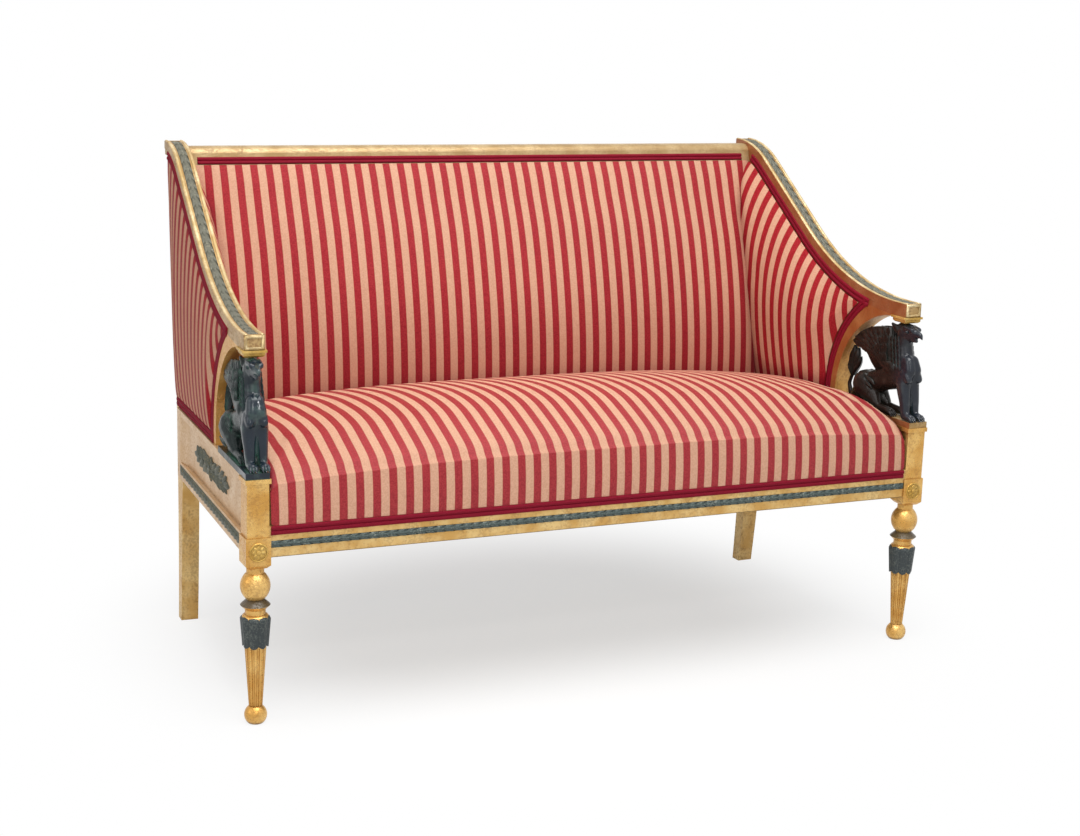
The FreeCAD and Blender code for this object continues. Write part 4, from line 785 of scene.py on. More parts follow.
def flower(work, hand, middle_z, face_y, radius):
    """Petals round a boss, inside a turned bead."""
    def on_block(u, v, high):
        return Vector((hand * LEG_X + u, face_y - high, middle_z + v)) * MM

    def turned_point(angle, share_and_height):
        share, high = share_and_height
        return on_block(radius * share * cos(angle), radius * share * sin(angle), high)

    for index in range(PETALS):
        on_petal = turned(on_block, 2 * pi * index / PETALS, radius * 0.16)
        leaf(work, on_petal, radius * 0.68, radius * 0.56, radius * 0.16)
    circle = np.linspace(0, 2 * pi, 33)
    bead = [(0.82, 0), (0.85, 1.6), (0.93, 2.2), (1, 1.4), (1.03, 0)]
    boss = [(0.26, 1.2), (0.24, 2.6), (0.14, 3.4), (0.01 / radius, 3.6)]
    floor_disc = [(0.01 / radius, 0.4), (1, 0.4)]
    for profile in (bead, boss, floor_disc):
        work.patch(grid(circle, profile, turned_point))


for hand, side in SIDES:
    angles = np.linspace(0, 2 * pi, 129)
    collar = panel([[collar_point(hand, angle, t) for angle in angles] for t in np.linspace(0, 1, 22)])
    collar.piece("leaf_collar_" + side, collar_green, "verdigris_wood")
    rosette = Work()
    rosette_low, rosette_high = box_of("rosette_" + side)
    flower(rosette, hand, (rosette_low.z + rosette_high.z) / 2, rosette_high.y, ROSETTE_R)
    rosette.piece("carved_rosette_" + side, gold_block, "gilt_wood", ["rosette_" + side])
print("leg carving: 4")

# %% [markdown]
# ## Stuffing as cloth
# An upholsterer pulls the cover over hair and wadding and tacks its edges. The seat and the back are drawn
# a little too small. The edge of each cover is pinned where the tacks are, the cloth solver blows it up from
# inside, and no point may go further than a few millimetres.

# %% Cloth helper
SWELL_FRAMES = 18
SWELL_CAP = 0.004  # metres
SWELL_PRESSURE = 4.0


def face_toward(thing, direction):
    """Turn all faces of an open cover so that they look the same way as direction."""
    data = thing.data
    total = sum((Vector(face.normal) * face.area for face in data.polygons), Vector())
    if total.dot(Vector(direction)) < 0:
        data.flip_normals()


def plump(thing, direction):
    """Let a cover swell under its stuffing, pinned along its open edges, no further than SWELL_CAP."""
    face_toward(thing, direction)
    data = thing.data
    shell = bmesh.new()
    shell.from_mesh(data)
    tacked = [vert.index for vert in shell.verts if vert.is_boundary]
    shell.free()
    thing.vertex_groups.new(name="tacked").add(tacked, 1.0, "REPLACE")
    cloth = thing.modifiers.new("stuffing", "CLOTH")
    cloth.settings.use_pressure = True
    cloth.settings.uniform_pressure_force = SWELL_PRESSURE
    cloth.settings.vertex_group_mass = "tacked"
    cloth.settings.effector_weights.gravity = 0
    cloth.settings.quality = 4
    scene = bpy.context.scene
    for number in range(1, SWELL_FRAMES + 1):
        scene.frame_set(number)
    swollen = thing.evaluated_get(bpy.context.evaluated_depsgraph_get()).data
    moves = [after.co - before.co for after, before in zip(swollen.vertices, data.vertices)]
    for vert, move in zip(data.vertices, moves):
        vert.co = vert.co + move * min(1.0, SWELL_CAP / max(move.length, 1e-9))
    thing.modifiers.remove(cloth)
    scene.frame_set(1)
    furthest = min(SWELL_CAP, max(move.length for move in moves))
    print(thing.name, "swelled by up to %.1f mm" % (furthest / MM))


def smooth_cover(thing):
    rounder = thing.modifiers.new("smooth cover", "SUBSURF")
    rounder.levels = 1
    rounder.render_levels = 1


print("cloth runs for", SWELL_FRAMES, "frames")

# %% [markdown]
# ## Seat
# The sprung seat is a dome, highest not quite half way back and lower at the arms, with a front border that
# rises from the braid to a crisp bend. Its line from front to back was read along the stripes at the middle
# of the seat. The ends fall away from it. The side walls, seen through the arches, take the arms' stripe.

# %% Seat line
SEAT_LINE = [(-12, 437), (-3, 452), (17, 467), (47, 480), (79, 490), (118, 497), (163, 502), (214, 503),
             (270, 500), (325, 494), (400, 483), (495, 466)]
SEAT_FALLS = [(-12, 19.5), (214, 44), (495, 33)]
SEAT_HALF, SEAT_FALL_POWER = 626.0, 3.2
SEAT_NARROWS, SEAT_HALVES = (10, 30), (629.5, 625.2)  # half width before and behind this stretch
RAIL_FACE, SEAT_BEND = -18.5, -12.0
BORDER_LOW, SEAT_FLOOR = 350.4, 407.0
START_SMALL = 3.0  # how much too small a cover is drawn before it swells
EDGE_ROLL_W, EDGE_ROLL_H = 14.0, 7.0


def read_line(points, at):
    """Smooth reading between points, by cubic runs that share their slopes."""
    xs, ys = np.array(points, float).T
    slopes = np.gradient(ys, xs)
    i = int(np.clip(np.searchsorted(xs, at) - 1, 0, len(xs) - 2))
    width = xs[i + 1] - xs[i]
    t = (at - xs[i]) / width
    rest = 1 - t
    return (ys[i] * (1 + 2 * t) * rest ** 2 + ys[i + 1] * (3 - 2 * t) * t ** 2
            + width * t * rest * (slopes[i] * rest - slopes[i + 1] * t))


def seat_top(x, back):
    drop = np.interp(back, *np.array(SEAT_FALLS, float).T) * (abs(x) / SEAT_HALF) ** SEAT_FALL_POWER
    return read_line(SEAT_LINE, back) - drop


def seat_half(back):
    behind = max(back - SEAT_NARROWS[1], 0)
    return float(np.interp(back, SEAT_NARROWS, SEAT_HALVES)) - behind * sin(SPLAY)


print("seat %.0f mm high in the middle" % max(z for back, z in SEAT_LINE))

# %% Seat cover
def seat_point(back, share):
    """Point on the seat's top, share running from -1 at the left arm to 1 at the right one."""
    x = share * seat_half(back)
    inset = max(0.0, abs(x) - seat_half(back) + EDGE_ROLL_W) / EDGE_ROLL_W
    roll = EDGE_ROLL_H * (1 - sqrt(max(0.0, 1 - inset ** 2)))
    sink = START_SMALL * (1 - abs(share) ** 8) * min(1, (back - SEAT_BEND) / 40)
    return Vector((x, FRONT_Y + back, seat_top(x, back) - roll - sink)) * MM


def border_point(t, top):
    """Point of the front border below one of the bend's points, t running up from the braid."""
    z = BORDER_LOW + (top.z / MM - BORDER_LOW - 0.03) * t
    back = RAIL_FACE + (SEAT_BEND - RAIL_FACE) * t - 1.6 * sin(pi * t)
    return Vector((top.x / MM, FRONT_Y + back, z)) * MM


def seat_shell():
    even = np.linspace(-1, 1, 97)
    shares = np.sin(even * pi / 2) * 0.25 + even * 0.75
    backs = np.concatenate([SEAT_BEND + 60 * np.linspace(0, 1, 10) ** 1.6, np.linspace(60, 492, 32)])
    rows = grid(backs, shares, seat_point)
    work = panel(rows)
    work.patch(grid(np.linspace(0, 1, 9), rows[0], border_point))
    for end in (0, -1):
        edge = [row[end] for row in rows]
        work.patch([edge, [Vector((p.x, p.y, SEAT_FLOOR * MM)) for p in edge]])
    return work


seat = seat_shell().piece("sprung_seat", stripes_seat, "striped_fabric", ["seat_cover", "seat_stuffing"])
plump(seat, (0, -0.3, 1))
smooth_cover(seat)
seat.data.materials.append(stripes_arm)
for face in seat.data.polygons:
    if abs(face.normal.x) > 0.7:
        face.material_index = 1

# %% [markdown]
# ## Back
# The back leans and swells towards the sitter, thin under the crest and full above the seat, so the
# straight stripes look bent. It is one panel between the arms.

# %% Back
BACK_TOP, BACK_LOW = 888.4, 440.0
BACK_FOOT, BACK_FOOT_Z = 526.0, 432.0  # where the front of the stiles begins to lean
BACK_RAKE = 80.0 / 472.0
FRAME_HALF = 16.5  # half the thickness of the side frame
BACK_SIDE = 17.0  # from the middle of the side frame in to the edge of the back
BACK_SWELL = [(432, 58), (520, 66), (600, 68), (680, 62), (760, 46), (830, 23), (889, 3)]
BACK_END_LOSS, BACK_CORNER_ROLL = 30.0, 36.0


def back_plane(z):
    """Place of the stiles' front at a height."""
    behind_leg = BACK_FOOT + max(0, z - BACK_FOOT_Z) * BACK_RAKE
    return FRONT_Y + behind_leg * cos(SPLAY) - FRAME_HALF * sin(SPLAY)


def back_half(z):
    return ARM_X - BACK_SIDE - (BACK_FOOT + (z - BACK_FOOT_Z) * BACK_RAKE) * sin(SPLAY)


def back_point(z, share):
    """Point on the stuffed back, share running from -1 at the left arm to 1 at the right one."""
    full = read_line(BACK_SWELL, z)
    loss = min(BACK_END_LOSS, full * 0.7) * abs(share) ** 5
    near_edge = START_SMALL * (1 - abs(share) ** 8) * min(1, (BACK_TOP - z) / 60)
    corner = BACK_CORNER_ROLL * max(0.0, (abs(share) - 0.955) / 0.045) ** 2 * min(1, full / 30)
    y = min(back_plane(z) - 2.5, back_plane(z) - 1.5 - full + loss + near_edge + corner)
    return Vector((share * back_half(z), y, z)) * MM


back_panel = panel(grid(np.linspace(BACK_LOW, BACK_TOP, 44), np.linspace(-1, 1, 97), back_point))
back = back_panel.piece("stuffed_back", stripes_back, "striped_fabric", ["back_cover", "back_stuffing"])
plump(back, (0, -1, 0))
smooth_cover(back)

# %% [markdown]
# ## Arm panels
# Inside each arm a padded panel fills the space between the arm, the arch and the back, fullest half way up.
# Outside, the same space is closed by a stretched cover with a little wadding under it. Both are drawn
# column by column, from the arch or the rail up to the braid.

# %% Lines of the arm panels
ARCH_Z, BRAID_CENTRE, BRAID_IN_R = 454.0, 23.0, 224.0
BRAID_W = 18.0
PAD_R, PAD_DROP = BRAID_IN_R + BRAID_W, 33.0
PAD_FULL, PAD_FULLEST = 36.0, 600.0
PAD_TOP_EASE, PAD_ARCH_EASE = 52.0, 75.0
INNER_FACE, OUTER_FACE, OUTER_SWELL = -20.0, 17.4, 10.0
INNER_END, OUTER_END = 598.0, 631.0
INNER_LOW, INNER_LOW_END, OUTER_LOW = SEAT_FLOOR + 20, 540.0, 450.5
STILE_FOOT, STILE_FOOT_Z = 572.0, 405.0  # where the back of the stiles begins to lean
STILE_BACK_RAKE = 63.0 / 499.0


def arch_height(back, radius):
    return ARCH_Z + sqrt(max(0.0, radius ** 2 - (back - BRAID_CENTRE) ** 2))


def meeting(drop, radius):
    """Where the arch line of a radius meets the arm line of a drop."""
    for back, z, slope in arm_line(drop, 0.5):
        if back > BRAID_CENTRE and np.hypot(back - BRAID_CENTRE, z - ARCH_Z) > radius:
            return back, z
    return ARM_END, ARM_BACK_TOP


PANEL_START = meeting(PAD_DROP, PAD_R)[0]
FOOT_BACK = BRAID_CENTRE + PAD_R


def panel_columns(last, low_of):
    """Back, lowest and highest point of each column of a panel."""
    for back in np.linspace(PANEL_START + 0.5, last, 58):
        low = arch_height(back, PAD_R) if back < FOOT_BACK else low_of(back)
        yield back, low, max(low + 0.5, arm_height(back, PAD_DROP))


def pad_bulge(back, z, top):
    """How far the inner pad swells, less towards the arm, the arch and the seat."""
    from_arch = np.hypot(back - BRAID_CENTRE, max(0, z - ARCH_Z)) - PAD_R
    low_share = 1 - 0.8 * max(0.0, (PAD_FULLEST - z) / (PAD_FULLEST - SEAT_FLOOR)) ** 1.4
    eased = np.tanh((top - z) / PAD_TOP_EASE) * np.tanh(max(0, from_arch) / PAD_ARCH_EASE)
    return PAD_FULL * eased * low_share


def low_inside(back):
    return max(INNER_LOW, BACK_FOOT_Z + (back - INNER_LOW_END) / BACK_RAKE)


def low_outside(back):
    return max(OUTER_LOW, STILE_FOOT_Z + (back - STILE_FOOT) / STILE_BACK_RAKE)


print("arm panels start %.0f mm behind the leg" % PANEL_START)

# %% Arm panels
def arm_panel(hand, outside):
    """Inner or outer cover of one arm."""
    last, low_of = (OUTER_END, low_outside) if outside else (INNER_END, low_inside)

    def point(column, t):
        back, low, top = column
        z = low + (top - low) * t
        if outside:
            near_end = min(1, (top - low) / 160) * min(1, (OUTER_END - back) / 90)
            out = OUTER_FACE + OUTER_SWELL * sin(pi * t) ** 0.6 * near_end
        else:
            out = INNER_FACE - pad_bulge(back, z, top)
        return on_side(hand, out, back, z)
    return panel(grid(panel_columns(last, low_of), np.linspace(0, 1, 40), point))


def area_of(thing):
    return sum(face.area for face in thing.data.polygons)


for hand, side in SIDES:
    replaced = ["arm_cover_" + side, "arm_stuffing_" + side, "arm_hessian_" + side]
    pad = arm_panel(hand, False).piece("arm_pad_" + side, stripes_arm, "striped_fabric", replaced)
    plump(pad, (-hand, 0, 0))
    smooth_cover(pad)
    cover = arm_panel(hand, True).piece("arm_outside_" + side, stripes_arm, "striped_fabric",
                                        ["arm_outer_cover_" + side])
    face_toward(cover, (hand, 0, 0))
    print(side, "outer arm cover %.4f square metres" % area_of(cover))

# %% [markdown]
# ## Braid
# A crimson gimp with two corded ridges hides the tacks along every edge of the cover. Each ridge is swept
# along its line with a section that swells in turn on one side and the other, which reads as twisted cord.

# %% Braid
CORD_TURN = 4.4  # millimetres from one twist of the cord to the next
CORD_STEP = 1.5
BRAID_DROP = 15 + BRAID_W / 2  # from the top of the arm down to the middle of the braid
BRAID_FACE = 16.6  # from the middle of the side frame out to the braid
CORD_HIGH = 2.6
SEAT_BRAID_HALF, SEAT_BRAID_Z, SEAT_BRAID_W = 630.0, 342.0, 16.0
BACK_BRAID_HALF, BACK_BRAID_Z, BACK_BRAID_W = 594.0, 896.0, 14.0
INNER_BRAID_LOW, INNER_BRAID_END = 430.0, 594.0
OUTER_BRAID_LOW, OUTER_BRAID_END = 432.0, 630.0
RAIL_BRAID_Z, RAIL_BRAID_END = 441.0, 566.0


def corded(width, height):
    """Section of the braid at each station: two round cords, twisting opposite ways."""
    def section(index):
        points = []
        for ridge in (-1, 1):
            for k in range(7):
                angle = pi * (1 - k / 6)
                swell = 1 + 0.2 * sin(2 * pi * index * CORD_STEP / CORD_TURN + ridge * angle)
                points.append(((ridge * 0.25 + 0.25 * cos(angle)) * width, height * sin(angle) * swell))
        return points + [(width / 2, -0.3), (-width / 2, -0.3)]
    return section


def braid_piece(name, runs, width, replaced):
    """Braid along several runs of (place, across, outward) stations."""
    work = Work()
    for stations in runs:
        sweep(work, stations, corded(width, CORD_HIGH))
    work.piece(name, braid_red, "braid", replaced)


def straight_run(half, y, z, rake):
    """Stations along a line across the settee, on a face that leans back by rake."""
    across = Vector((0, rake, 1)).normalized() * MM
    outward = Vector((0, -1, rake)).normalized() * MM
    return [(Vector((x, y, z)) * MM, across, outward) for x in np.arange(-half, half, CORD_STEP)]


def side_run(hand, out, line):
    """Stations along a line of the side frame, facing out or in."""
    outward = side_way(hand, 1 if out > 0 else -1, 0, 0)
    stations = []
    for back, z, slope in line:
        across = side_way(hand, 0, -sin(slope), cos(slope))
        stations.append((on_side(hand, out, back, z), across, outward))
    return stations


def arch_run(low):
    """Middle of the braid up the arch, from a height to where it meets the arm."""
    radius = BRAID_IN_R + BRAID_W / 2
    tip_back, tip_z = meeting(BRAID_DROP, radius)
    last = atan2(tip_z - ARCH_Z, tip_back - BRAID_CENTRE)
    line = [(BRAID_CENTRE + radius, low, pi / 2)]
    for a in np.linspace(0, last, 50):
        line.append((BRAID_CENTRE + radius * cos(a), ARCH_Z + radius * sin(a), pi / 2 + a))
    return evenly(line, CORD_STEP)


def arm_run(last):
    tip_back = meeting(BRAID_DROP, BRAID_IN_R + BRAID_W / 2)[0]
    line = arm_line(BRAID_DROP, CORD_STEP)
    return line[(line[:, 0] > tip_back - 8) & (line[:, 0] < last)]


seat_run = straight_run(SEAT_BRAID_HALF, FRONT_Y + RAIL_FACE, SEAT_BRAID_Z, 0)
braid_piece("seat_gimp", [seat_run], SEAT_BRAID_W, ["seat_braid"])
back_run = straight_run(BACK_BRAID_HALF, back_plane(BACK_BRAID_Z), BACK_BRAID_Z, BACK_RAKE)
braid_piece("back_gimp", [back_run], BACK_BRAID_W, ["back_braid"])
rail_backs = np.arange(BRAID_CENTRE + BRAID_IN_R, RAIL_BRAID_END, CORD_STEP)
rail_run = [(back, RAIL_BRAID_Z, 0.0) for back in rail_backs]
inner_lines = (arch_run(INNER_BRAID_LOW), arm_run(INNER_BRAID_END))
outer_lines = (arch_run(OUTER_BRAID_LOW), arm_run(OUTER_BRAID_END), rail_run)
for hand, side in SIDES:
    inside = [side_run(hand, -BRAID_FACE, line) for line in inner_lines]
    braid_piece("arm_gimp_inside_" + side, inside, BRAID_W, ["arm_inner_braid_" + side])
    outside = [side_run(hand, BRAID_FACE, line) for line in outer_lines]
    braid_piece("arm_gimp_outside_" + side, outside, BRAID_W, ["arm_outer_braid_" + side])
print("braids: 6")

# %% [markdown]
# ## Back cover and what lies inside
# Behind, the back is closed by a plain stretch of the same stripe. Under the seat a hessian dust cover
# hides webbing, springs and the hessian that lies on them. They are made as an upholsterer would lay them,
# because the model may be turned over.

# %% Outer back cover and hidden sheets
COVER_LOW, COVER_TOP = 405.5, 900.5
COVER_SIDE, COVER_FOOT, COVER_RAKE = 15.0, 560.0, 0.15
COVER_DRAWN_IN = 1.6
DUST_SAG = 2.5
COVER_THICK, HESSIAN_THICK = 0.001, 0.0008  # metres


def back_face(z):
    """Place of the stiles' back at a height."""
    behind_leg = STILE_FOOT + (z - STILE_FOOT_Z) * STILE_BACK_RAKE
    return FRONT_Y + behind_leg * cos(SPLAY) + FRAME_HALF * sin(SPLAY)


def sheet_piece(name, rows, thickness, finish, slot, node):
    """Thin sheet of cloth from a grid of points, with its flat size printed."""
    thing = panel(rows).piece(name, finish, slot, [node])
    width = (rows[0][-1] - rows[0][0]).length
    length = (rows[-1][0] - rows[0][0]).length
    thick = thing.modifiers.new("cloth thickness", "SOLIDIFY")
    thick.thickness = thickness
    thick.offset = 0
    print("%s: %.3f by %.3f m" % (name, width, length))


def cover_point(z, share):
    """Point on the outer back cover, drawn in a little between its edges."""
    half = ARM_X - COVER_SIDE - (COVER_FOOT + (z - STILE_FOOT_Z) * COVER_RAKE) * sin(SPLAY)
    slack = COVER_DRAWN_IN * sin(pi * (z - COVER_LOW) / (COVER_TOP - COVER_LOW))
    y = back_face(z) + COVER_DRAWN_IN - slack * (1 - share ** 8)
    return Vector((share * half, y, z)) * MM


def level_rows(node, under_top, sag):
    """Rows of a nearly level sheet over a node's plan, narrower at the back as the settee is."""
    low, high = box_of(node)

    def point(t, share):
        y = low.y + (high.y - low.y) * t
        half = high.x - (y - low.y) * sin(SPLAY)
        z = high.z - under_top - sag * sin(pi * t) * (1 - share ** 4)
        return Vector((share * half, y, z)) * MM
    return grid(np.linspace(0, 1, 24), np.linspace(-1, 1, 48), point)


cover_rows = grid(np.linspace(COVER_LOW, COVER_TOP, 30), np.linspace(-1, 1, 60), cover_point)
sheet_piece("back_outside", cover_rows, COVER_THICK, stripes_back, "striped_fabric", "back_outer_cover")
dust_rows = level_rows("dust_cover", 0.6, DUST_SAG)
sheet_piece("dust_sheet", dust_rows, HESSIAN_THICK, hessian, "webbing", "dust_cover")
over_springs = level_rows("seat_hessian", 0.7, 0.0)
sheet_piece("spring_hessian", over_springs, HESSIAN_THICK, hessian, "webbing", "seat_hessian")

# %% [markdown]
# ## Webbing and springs
# Jute webs cross under the seat, each over one and under the next, and the springs stand on them. The webs
# of the back lie flat, one set a little before the other.

# %% Webbing
WEB_W, WEB_T = 50.0, 1.5
FIELD_X, FIELD_Y = (-612.0, 612.0), (-300.0, 222.0)  # what the webs and springs of the seat fill
BACK_FIELD_X, BACK_FIELD_Z = (-598.0, 598.0), (487.0, 872.0)


def spread(low, high, count):
    """Middles of equal shares of a length."""
    step = (high - low) / count
    return [low + step * (index + 0.5) for index in range(count)]


def strap(work, line, across, outward):
    """Flat webbing along a line of points, with rounded edges."""
    half, thick = WEB_W / 2, WEB_T / 2
    flat = half - 1
    ring = [(-half, 0), (-flat, thick), (flat, thick), (half, 0), (flat, -thick), (-flat, -thick)]
    across, outward = Vector(across) * MM, Vector(outward) * MM
    sweep(work, [(Vector(point) * MM, across, outward) for point in line], lambda index: ring)


def interlaced(places, crossings, over):
    """Small rise and fall where one web passes over and under the others."""
    pitch = crossings[1] - crossings[0]
    return [0.55 * cos(pi * (place - crossings[0]) / pitch) * over for place in places]


web_low, web_high = box_of("seat_webbing")
web_ys = spread(*FIELD_Y, 4)
web_xs = spread(*FIELD_X, 9)
web_z = (web_low.z + web_high.z) / 2
under = Work()
for index, y in enumerate(web_ys):
    half = web_high.x - (y - FRONT_Y) * sin(SPLAY) - 3
    xs = np.linspace(-half, half, 120)
    waves = interlaced(xs, web_xs, 1 - 2 * (index % 2))
    strap(under, [(x, y, web_z + w) for x, w in zip(xs, waves)], (0, 1, 0), (0, 0, 1))
for index, x in enumerate(web_xs):
    ys = np.linspace(web_low.y, web_high.y, 60)
    waves = interlaced(ys, web_ys, 2 * (index % 2) - 1)
    strap(under, [(x, y, web_z + w) for y, w in zip(ys, waves)], (1, 0, 0), (0, 0, 1))
under.piece("seat_webs", jute, "webbing", ["seat_webbing"])

behind = Work()
back_low, back_high = box_of("back_webbing")
lean = Vector((0, BACK_RAKE, 1)).normalized()
for x in spread(*BACK_FIELD_X, 9):
    zs = np.linspace(back_low.z, back_high.z, 12)
    strap(behind, [(x, back_plane(z) - 0.7, z) for z in zs], (1, 0, 0), (0, -lean.z, lean.y))
for z in spread(*BACK_FIELD_Z, 2):
    xs = np.linspace(-596, 596, 40)
    strap(behind, [(x, back_plane(z) - 1.2, z) for x in xs], lean, (0, -lean.z, lean.y))
behind.piece("back_webs", jute, "webbing", ["back_webbing"])
print("webs:", len(web_ys) + len(web_xs), "in the seat, 11 in the back")

# %% Springs
SPRING_R, WAIST_R, SPRING_WIRE, SPRING_TURNS = 36.0, 24.5, 1.75, 5
SPRING_GAP = 2.0  # from each end of the solid to the middle of the wire
spring_low, spring_high = box_of("seat_springs")
wire_ring = [(SPRING_WIRE * cos(a), SPRING_WIRE * sin(a)) for a in np.arange(6) * pi / 3]


def coil(x, y):
    """Stations along the wire of one spring, wide at both ends and narrow at its waist."""
    stations = []
    for t in np.linspace(0, 1, SPRING_TURNS * 20 + 1):
        turn = 2 * pi * SPRING_TURNS * t
        radius = WAIST_R + (SPRING_R - WAIST_R) * abs(2 * t - 1)
        z = spring_low.z + SPRING_GAP + (spring_high.z - spring_low.z - 2 * SPRING_GAP) * t
        outward = Vector((cos(turn), sin(turn), 0))
        place = (Vector((x, y, z)) + outward * radius) * MM
        stations.append((place, Vector((0, 0, MM)), outward * MM))
    return stations


coils = Work()
for y in spread(*FIELD_Y, 3):
    for x in spread(*FIELD_X, 8):
        sweep(coils, coil(x, y), lambda index: wire_ring)
coils.piece("coil_springs", copper_wire, "spring_steel", ["seat_springs"])
print("springs: 24")

# %% [markdown]
# ## Foliate ornaments of the side rails
# In the sunk panel of each side rail lies a long spray of leaves that grows both ways from a small flower.
# Each leaf is carved in relief on the panel's floor, the second pair the largest.

# %% Side ornaments
PANEL_FACE, ORNAMENT_BACK, ORNAMENT_Z = 12.5, 285.0, 375.0
STEM_START, STEM_END = 6, 128
SPRAY = ((8, 34), (34, 40), (66, 36), (94, 30))  # start and length of each pair of leaves
SPRAY_TURN, SPRAY_RISE = 0.55, 4.6


def stem_row(put, s):
    """Across the stem: two edges on the panel and a ridge that sinks towards the end."""
    ridge = (1.4 - 0.7 * s / STEM_END) * 1.5
    wander = 2.5 * sin(s / 14)
    return [put(s, wander + v, h) for v, h in ((-1.6, 0), (0, ridge), (1.6, 0))]


for hand, side in SIDES:
    work = Work()
    for way in (-1, 1):
        def on_panel(u, v, h, hand=hand, way=way):
            return on_side(hand, PANEL_FACE + 0.2 + h, ORNAMENT_BACK + way * u, ORNAMENT_Z + v)

        work.patch([stem_row(on_panel, s) for s in np.linspace(STEM_START, STEM_END, 30)])
        for start, size in SPRAY:
            def on_stem(u, v, h, start=start, put=on_panel):
                return put(start + u, v, h)

            for turn in (SPRAY_TURN, -SPRAY_TURN):
                leaf(work, turned(on_stem, turn), size, size * 0.5, SPRAY_RISE)
        leaf(work, turned(on_panel, 0, 104), 34, 15, SPRAY_RISE)

    def on_heart(u, v, h, hand=hand):
        return on_side(hand, PANEL_FACE + 0.8 + h, ORNAMENT_BACK + u, ORNAMENT_Z + v)

    for index in range(PETALS):
        leaf(work, turned(on_heart, 2 * pi * index / PETALS, 3), 20, 13, SPRAY_RISE)
    work.piece("leaf_spray_" + side, laurel_side, "verdigris_wood", ["side_ornament_" + side])
print("side ornaments: 2")

# %% [markdown]
# ## Griffins
# The griffins carry the arms: eagle's head and wings on a lion's body, seated on a plinth. A carver roughs
# out the body and then cuts feathers and toes. The body here is chains of balls melted into one skin
# by a voxel remesh.

# %% Griffin bodies
G_DEPTH, G_FRONT, G_HEIGHT, G_FLOOR, G_ACROSS = 249.0, -18.0, 187.0, 443.0, 21.0
G_VOXEL = 0.0015


def in_griffin(depth, high, across=0.0):
    """Out, back and height of a point given as shares of the griffin's own size."""
    return Vector((across * G_ACROSS, G_FRONT + depth * G_DEPTH, G_FLOOR + high * G_HEIGHT))


def chain(points):
    """Balls close together along a line of (depth, high, across, radius)."""
    balls = []
    for first, last in zip(points, points[1:]):
        a, b = in_griffin(*first[:3]), in_griffin(*last[:3])
        count = max(2, int((b - a).length / (0.3 * G_HEIGHT * min(first[3], last[3]))) + 1)
        for t in np.linspace(0, 1, count):
            balls.append((a.lerp(b, t), G_HEIGHT * (first[3] + (last[3] - first[3]) * t)))
    return balls


def both_ways(points):
    return chain(points) + chain([(d, h, -a, r) for d, h, a, r in points])


GRIFFIN_BALLS = (
    chain([(0.15, 0.50, 0, 0.122), (0.24, 0.42, 0, 0.138), (0.40, 0.365, 0, 0.134), (0.57, 0.27, 0, 0.136),
           (0.71, 0.17, 0, 0.122), (0.79, 0.08, 0, 0.074)])
    + chain([(0.15, 0.52, 0, 0.118), (0.20, 0.64, 0, 0.112), (0.225, 0.76, 0, 0.108),
             (0.205, 0.87, 0, 0.104)])
    + chain([(0.18, 0.885, 0, 0.092), (0.09, 0.905, 0, 0.056), (0.025, 0.90, 0, 0.030),
             (0.0, 0.865, 0, 0.012)])
    + chain([(0.14, 0.845, 0, 0.042), (0.065, 0.832, 0, 0.020)])
    + chain([(0.25, 0.925, 0, 0.070), (0.15, 0.935, 0, 0.060)])
    + chain([(0.78, 0.06, 0, 0.048), (0.87, 0.08, 0, 0.034), (0.90, 0.18, 0, 0.026),
             (0.86, 0.30, 0, 0.024)])
    + both_ways([(0.13, 0.47, 0.36, 0.090), (0.14, 0.37, 0.44, 0.094), (0.125, 0.29, 0.48, 0.082),
                 (0.105, 0.20, 0.50, 0.068), (0.09, 0.08, 0.50, 0.058)])
    + both_ways([(0.095, 0.05, 0.50, 0.052), (0.02, 0.04, 0.50, 0.042)])
    + both_ways([(0.64, 0.23, 0.27, 0.170), (0.54, 0.15, 0.43, 0.118), (0.46, 0.08, 0.58, 0.066)])
    + both_ways([(0.58, 0.055, 0.58, 0.054), (0.27, 0.044, 0.60, 0.043)])
    + both_ways([(0.27, 0.915, 0.40, 0.044), (0.315, 0.965, 0.62, 0.018)])
    + both_ways([(0.12, 0.60, 0.24, 0.074), (0.095, 0.52, 0.30, 0.078), (0.11, 0.44, 0.40, 0.074)])
    + both_ways([(0.09, 0.46, 0.58, 0.052), (0.07, 0.43, 0.58, 0.046)])
    + both_ways([(0.09, 0.94, 0.42, 0.028), (0.17, 0.955, 0.48, 0.028)])
    + both_ways([(0.28, 0.50, 0.42, 0.090), (0.40, 0.53, 0.52, 0.060), (0.45, 0.62, 0.55, 0.045)])
)
G_SLIM = 0.82  # width of the balls across, as a share of their height


def melted(balls, hand, name):
    """One skin round all the balls."""
    lump = bmesh.new()
    for place, radius in balls:
        shape = bmesh.ops.create_icosphere(lump, subdivisions=2, radius=radius * MM)
        middle = on_side(hand, *place)
        for vert in shape["verts"]:
            vert.co = Vector((vert.co.x * G_SLIM, vert.co.y, vert.co.z)) + middle
    data = bpy.data.meshes.new(name)
    lump.to_mesh(data)
    lump.free()
    rough = bpy.data.objects.new(name + "_rough", data)
    bpy.context.collection.objects.link(rough)
    remesh = rough.modifiers.new("one skin", "REMESH")
    remesh.mode = "VOXEL"
    remesh.voxel_size = G_VOXEL
    easing = rough.modifiers.new("ease", "SMOOTH")
    easing.factor, easing.iterations = 0.5, 14
    graph = bpy.context.evaluated_depsgraph_get()
    skin = bpy.data.meshes.new_from_object(rough.evaluated_get(graph))
    bpy.data.objects.remove(rough)
    return skin


print("balls in each griffin:", len(GRIFFIN_BALLS))

# %% [markdown]
# ## Feathers, claws and wings
# Each feather is the carver's leaf again, laid flat beside the body. A wing is a plate with four tiers of
# them, which all spring from the shoulder and bend over the wing's elbow.

